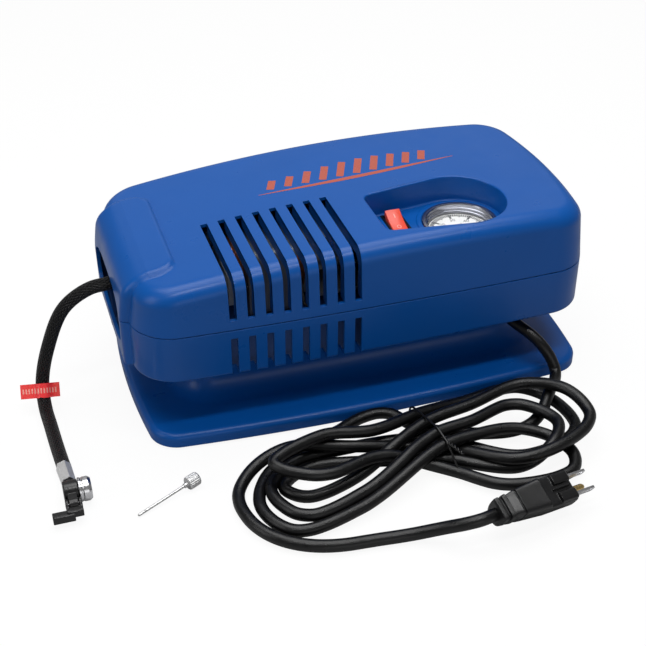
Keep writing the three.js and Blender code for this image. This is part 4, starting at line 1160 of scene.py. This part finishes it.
def hex_bar(start, end, r0, r1, twist):
    """A hexagonal sleeve with turned corners, which tapers from one radius to the other."""
    chamfer = 1.0
    start, end = np.array(start, float), np.array(end, float)
    length = np.linalg.norm(end - start)
    axis = unit(end - start)
    across = unit(np.cross(axis, (0, 0, 1)))
    side = np.cross(axis, across)
    angles = turns(48) + twist
    flat = np.cos(math.pi / 6) / np.cos((angles - twist) % (math.pi / 3) - math.pi / 6)
    rings = []
    sections = [(0, 0.84), (0.05, 0.88), (chamfer, 1)]
    for d, shrink in sections + [(length - d, shrink) for d, shrink in reversed(sections)]:
        r = (r0 + (r1 - r0) * d / length) * np.minimum(flat, 1.0 if shrink == 1 else shrink / 0.866)
        ring = start + axis * d + np.outer(r * np.cos(angles), across) + np.outer(r * np.sin(angles), side)
        rings.append(ring)
    return loft(rings)


def along_x(profile, spot, radius=0.0, sides=48):
    """A piece turned about a line along X, with its inner corners rounded."""
    if radius:
        profile = rounded_profile(profile, radius)
    return turned_about(profile, spot, (1, 0, 0), sides)


def chuck():
    low, high = node_box("hose_ferrule")
    x, y, z, lever_y = CHUCK["x"], CHUCK["y"], CHUCK["z"], CHUCK["lever_y"]
    start = (np.mean([low[0], high[0]]) - 0.5, high[1] - 0.2, 6.4)
    detail("hose_ferrule", hex_bar(start, (x, low[1] + 0.2, 8.0), 5.4, 5.0, 0.3), FERRULE_NICKEL, 25)
    drum = along_x([(0, 0), (7.6, 0), (7.6, 9.8), (0, 9.8)], (x - 5, y, z), 1.0)
    neck = turned_about([(0, 0), (4.3, 0), (4.3, 8.5), (3.4, 9), (0, 9)], (x, y + 9, 8.2), (0, -1, 0))
    ear = along_x([(0, 0), (4.3, 0), (4.3, 6), (0, 6)], (x - 3, lever_y, z), 0.5)
    web = box((x - 3, lever_y, z - 4), (x + 3, y, z + 4))
    detail("chuck_body", join(drum, neck, ear, web), LOOKS["plastic_black"])
    barrel = [
        (4.3, 8.2), (4.3, 0), (8.3, 0), (8.3, 1.4), (7.9, 1.8), (7.9, 2.6),
        (8.3, 3), (8.3, 6.4), (7.0, 8.4), (4.3, 8.4), (4.3, 8.2),
    ]
    detail("chuck_barrel", along_x(barrel, (x + 5.1, y, z), 0.35, 72), LOOKS["chrome"], 30)
    gland = [(2.1, 0), (4, 0), (4, 6.6), (2.1, 6.6), (2.1, 0)]
    detail("chuck_gland", along_x(gland, (x + 5.4, y, z), 0.5), LOOKS["rubber_black"])
    pin = [(0, 0), (1.35, 0), (1.35, 11.2), (0, 11.2)]
    detail("lever_pin", along_x(pin, (x - 5.6, lever_y, z), 0.4), LOOKS["steel"])


def chuck_lever():
    """Two ears, an arm with raised side rails, and the thumb paddle turned to the left."""
    mid, z, lever_y = CHUCK["x"], CHUCK["z"], CHUCK["lever_y"]
    half, ear = 5.4, 2.1
    parts = []
    for x in (mid - half, mid + half - ear):
        parts.append(box((x, lever_y - 6, z - 3), (x + ear, lever_y, z + 3)))
        parts.append(along_x([(0, 0), (4, 0), (4, ear), (0, ear)], (x, lever_y, z), sides=32))
    arm = [(-half, z - 3), (half, z - 3), (half, z + 3), (2, z + 2), (-2, z + 2), (-half, z + 3)]
    rings = []
    for ahead, wide in ((4.6, 1.0), (7, 0.94), (10, 1.0)):
        rings.append(np.array([(mid + x * wide, lever_y - ahead, h) for x, h in arm]))
    parts.append(loft(rings))
    parts.append(box((mid - 15, lever_y - 11.5, 3.8), (mid - 0.5, lever_y - 5.5, z + 1)))
    lever = new_mesh("chuck_lever_detail", *join(*parts), LOOKS["plastic_black"])
    bevel(lever, 0.6)
    stands_for(lever, "chuck_lever")


# ---------------------------------------------------------------- loose needle
def needle():
    tip, head = np.array(NEEDLE["tip"], float), np.array(NEEDLE["head"], float)
    axis = unit(head - tip)
    length = np.linalg.norm(head - tip)
    shaft = turned_about([(0, 0.1), (0.55, 0), (0.9, 0.6), (1.0, 1.4), (1.0, length - 12)], tip, axis, 24)
    back = length - 9.0
    head_profile = [
        (1.0, back - 3), (1.7, back - 2.6), (1.7, back), (4.0, back), (4.7, back + 0.7),
        (4.7, length - 0.8), (4.0, length), (2.0, length), (2.0, length - 2), (0, length - 2),
    ]
    verts, faces = turned_about(rounded_profile(head_profile, 0.25), tip, axis, 96)
    offset = verts - tip
    along = offset @ axis
    radial = offset - np.outer(along, axis)
    spread = np.linalg.norm(radial, axis=1)
    knurl = np.where((spread > 4.5) & (np.arange(len(verts)) % 4 < 2), 0.955, 1.0)
    verts = tip + np.outer(along, axis) + radial * knurl[:, None]
    detail("needle", join(shaft, (verts, faces)), NEEDLE_STEEL, 20)
    # The side hole near the tip is a black disc on the shaft: painted shade, not an opening.
    hole_at = tip + axis * 5.5
    up = np.array([0, 0, 1]) - axis * axis[2]
    up = unit(up) * 0.9 + np.cross(axis, (0, 0, 1)) * 0.35
    hole = turned_about([(0, 1.02), (0.42, 1.0), (0.42, 0.7)], hole_at, up, 16)
    rides_with(new_mesh("needle_hole_painted_shade", *hole, INK_BLACK_AND_HOLE_SHADE), "needle")


# ---------------------------------------------------------------- cord, tie and plug
def power_cord():
    line = smooth_line(tube_line("power_cord", CORD_R), 2.6)
    stands_for(tube("power_cord_detail", line, CORD_R, CORD_JACKET, 24), "power_cord")
    return line


def turns_right(a, b, c):
    return (b[0] - a[0]) * (c[1] - a[1]) - (b[1] - a[1]) * (c[0] - a[0]) <= 0


def hull(points):
    """Convex outline of flat points, anticlockwise."""
    points = sorted(map(tuple, points))

    def half(run):
        out = []
        for p in run:
            while len(out) > 1 and turns_right(out[-2], out[-1], p):
                out.pop()
            out.append(p)
        return out[:-1]

    return np.array(half(points) + half(points[::-1]))


def cord_tie(line):
    """A thin wire drawn tight round the strands, its ends twisted together on top."""
    low, high = node_box("cord_tie")
    x = (low[0] + high[0]) / 2
    held = line[(np.abs(line[:, 0] - x) < 3) & (line[:, 1] < high[1]) & (line[:, 1] > low[1])]
    round_them = [circle(p[1:], CORD_R + TIE_R, 24) for p in held]
    outline = hull(np.concatenate(round_them))
    outline[:, 1] = np.maximum(outline[:, 1], TIE_R)
    slant = 0.16
    middle = outline[:, 0].mean()
    loop = np.column_stack([x - slant * (outline[:, 0] - middle), outline])
    loop = smooth_line(np.concatenate([loop, loop[:1]]), 1.2)
    tube_obj = tube("cord_tie_detail", loop, TIE_R, LOOKS["plastic_black"], 10)
    top = loop[np.argmax(loop[:, 2] - 0.25 * loop[:, 1])]
    ends = []
    s = np.linspace(0, 1, 40)
    for phase in (0, math.pi):
        twist = s * 5 * math.pi + phase
        spine = top + np.outer(s, (5, -13, 2.5)) + np.outer(s**2, (0, -2, -2))
        spine += np.column_stack([0.75 * np.cos(twist), 0 * s, 0.75 * np.sin(twist)])
        ends.append(tube(f"tie_end_{len(ends)}", spine, 0.7, LOOKS["plastic_black"], 8))
    merge("cord_tie_detail", tube_obj, *ends)
    stands_for(tube_obj, "cord_tie")


def plug_axes():
    """The plug's place: the middle of its face between the blades, then its along, across and up axes."""
    near, far = cad_points("plug_blade_near").mean(0), cad_points("plug_blade_far").mean(0)
    across = unit(far - near)
    pin_points = cad_points("plug_ground_pin")
    along = np.linalg.svd(pin_points - pin_points.mean(0))[2][0]
    along *= np.sign(along[0])
    along = unit(along - across * (along @ across))
    up = np.cross(along, across)
    reach = (pin_points @ along).min()
    face = (near + far) / 2
    face = face + along * (reach + PIN_HIDDEN - face @ along)
    return face, along, across, up


def plug_section(s, half, up, down, square_up=0.32, square_down=0.75, count=48):
    """One rounded cross-section of the plug's body, in its own axes."""
    t = turns(count) + math.pi / count
    power = np.where(np.sin(t) > 0, square_up, square_down)
    across = squared(np.cos(t), power) * half
    height = squared(np.sin(t), power) * np.where(np.sin(t) > 0, up, down)
    return np.column_stack([np.full(count, float(s)), across, height])


def plug():
    face, *axes = plug_axes()
    axes = np.stack(axes, 1)

    def place(part):
        verts, faces = part
        return np.asarray(verts) @ axes.T + face, faces

    parts = [loft([plug_section(*row) for row in PLUG_SECTIONS])]
    bosses = ((-15, 3.4, 2.5), (-14, 3.9, 5.6), (-1.2, 3.9, 5.2), (-0.3, 3.4, 4.6))
    for side in (-1, 1):
        middle = [0, side * PRONG_APART, 0]
        parts.append(loft([plug_section(s, half, up, 3, 0.35, 0.5, 32) + middle for s, half, up in bosses]))
    parts.append(box((-17, -0.5, 0), (-3, 0.5, 5.4)))
    detail("plug_body", place(join(*parts)), LOOKS["plug_rubber"], 30)
    for side, node in ((-1, "plug_blade_near"), (1, "plug_blade_far")):
        detail(node, place(blade(side)), LOOKS["chrome"], 25)
    pin = [(0, -6), (2.4, -6), (2.4, PIN_LENGTH - 1.9), (1.3, PIN_LENGTH), (0, PIN_LENGTH)]
    pin = along_x(pin, (0, 0, -PRONG_DOWN), 0.8, 32)
    detail("plug_ground_pin", place(pin), LOOKS["brass"])


def blade(side):
    """A flat blade with a rounded tip and a hole."""
    a = side * PRONG_APART
    length, half, thick = BLADE["length"], BLADE["half"], BLADE["thick"]
    hole_s = length - 4.0
    tip = [(length, -half + 1.4), (length, half - 1.4), (length - 1.4, half)]
    outline = [(-6, half), (-6, -half), (length - 1.4, -half)] + tip
    count = 24
    edge = resample(np.array(outline, float), turns(count), (hole_s, 0))
    hole = circle((hole_s, 0), BLADE["hole_r"], count)
    rings = []
    for loop, t in ((edge, -thick), (edge, thick), (hole, thick), (hole, -thick), (edge, -thick)):
        rings.append(np.column_stack([loop[:, 0], np.full(count, a + t), loop[:, 1]]))
    return loft(rings, caps=False)


def resample(outline, angles, center):
    """Points of a closed outline in the given directions from a centre inside it."""
    out = []
    for angle in angles:
        direction = np.array([math.cos(angle), math.sin(angle)])
        best = None
        for a, b in zip(outline, np.roll(outline, -1, axis=0)):
            m = np.column_stack([direction, a - b])
            if abs(np.linalg.det(m)) < 1e-9:
                continue
            reach, share = np.linalg.solve(m, a - center)
            if reach > 0 and -1e-6 <= share <= 1 + 1e-6 and (best is None or reach < best):
                best = reach
        out.append(np.array(center) + direction * best)
    return np.array(out)


# ---------------------------------------------------------------- what stays as the frame has it
def dress_frame():
    """The remaining CAD nodes get the look of their slot and softly rounded edges."""
    for node, obj in NODES.items():
        obj.data.materials.clear()
        obj.data.materials.append(LOOKS[SLOT_OF[node]])
        if not obj.hide_render:
            obj.data.polygons.foreach_set("use_smooth", [True] * len(obj.data.polygons))
            obj.data.set_sharp_from_angle(angle=math.radians(35))


# ---------------------------------------------------------------- stage
# Name, place in metres from the middle of the base, size, and power.
LIGHTS = (
    ("softbox_top", (0.0, 0.25, 1.25), (1.3, 0.7), 12.0),
    ("softbox_edge", (0.0, -0.45, 1.25), (1.2, 0.12), 7.0),
    ("softbox_left", (-1.3, -0.2, 0.7), (0.5, 0.8), 3.0),
    ("softbox_front", (0.1, -1.6, 0.35), (1.4, 0.6), 2.6),
    ("panel_back", (0.3, 1.7, 0.95), (2.2, 1.1), 3.0),
)
CAMERA = dict(azimuth=-17.74, elevation=34.04, distance=900.0, target=(-30.2, -51.7, 58.2), lens=69.1)


def floor():
    """A pale sheet that looks nearly white to the camera and gives the object only a little light back."""
    bpy.ops.mesh.primitive_plane_add(size=8, location=(0, 0, -0.0002))
    sheet = bpy.context.object
    sheet.name = "floor"
    look = Look("paper")
    look.color((0.42, 0.42, 0.42), look.noise(0.01), 0.01)
    look.set(Roughness=0.9, Specular_IOR_Level=0.1)
    glow = look.node("ShaderNodeEmission", {"Color": (1, 1, 1, 1), "Strength": 1.12})
    seen = look.node("ShaderNodeLightPath", {}).outputs["Is Camera Ray"]
    share = look.math("MULTIPLY", seen, 0.82)
    mixed = look.node("ShaderNodeMixShader", {0: share, 1: look.shader.outputs[0], 2: glow.outputs[0]})
    look.tree.links.new(mixed.outputs[0], look.tree.nodes["Material Output"].inputs["Surface"])
    sheet.data.materials.append(look.material)


def stage():
    floor()
    scene = bpy.context.scene
    scene.view_settings.view_transform = "Standard"
    scene.world = scene.world or bpy.data.worlds.new("world")
    scene.world.use_nodes = True
    background = scene.world.node_tree.nodes["Background"]
    background.inputs["Color"].default_value = (1, 1, 1, 1)
    background.inputs["Strength"].default_value = 0.19
    for name, spot, size, power in LIGHTS:
        data = bpy.data.lights.new(name, "AREA")
        data.shape = "RECTANGLE"
        data.size, data.size_y = size
        data.energy = power
        lamp = bpy.data.objects.new(name, data)
        scene.collection.objects.link(lamp)
        lamp.location = Vector(spot) + Vector(PLACE) * MM
        aim = Vector(PLACE) * MM + Vector((0, 0, 0.08)) - lamp.location
        lamp.rotation_euler = aim.to_track_quat("-Z", "Y").to_euler()


def camera():
    a, e = math.radians(CAMERA["azimuth"]), math.radians(CAMERA["elevation"])
    back = Vector((math.sin(a) * math.cos(e), -math.cos(a) * math.cos(e), math.sin(e)))
    data = bpy.data.cameras.new("camera")
    data.lens = CAMERA["lens"]
    data.sensor_width = 36
    eye = bpy.data.objects.new("camera", data)
    bpy.context.scene.collection.objects.link(eye)
    eye.location = (Vector(CAMERA["target"]) + Vector(PLACE) + back * CAMERA["distance"]) * MM
    eye.rotation_euler = (-back).to_track_quat("-Z", "Y").to_euler()
    bpy.context.scene.camera = eye


upper_shell()
lower_shell()
base_pedestal()
top_graphic()
gauge_metal()
gauge_dial()
gauge_pointer()
gauge_lens()
rocker()
switch_body()
hose_tag(hose())
chuck()
chuck_lever()
needle()
cord_tie(power_cord())
plug()
dress_frame()
stage()
camera()
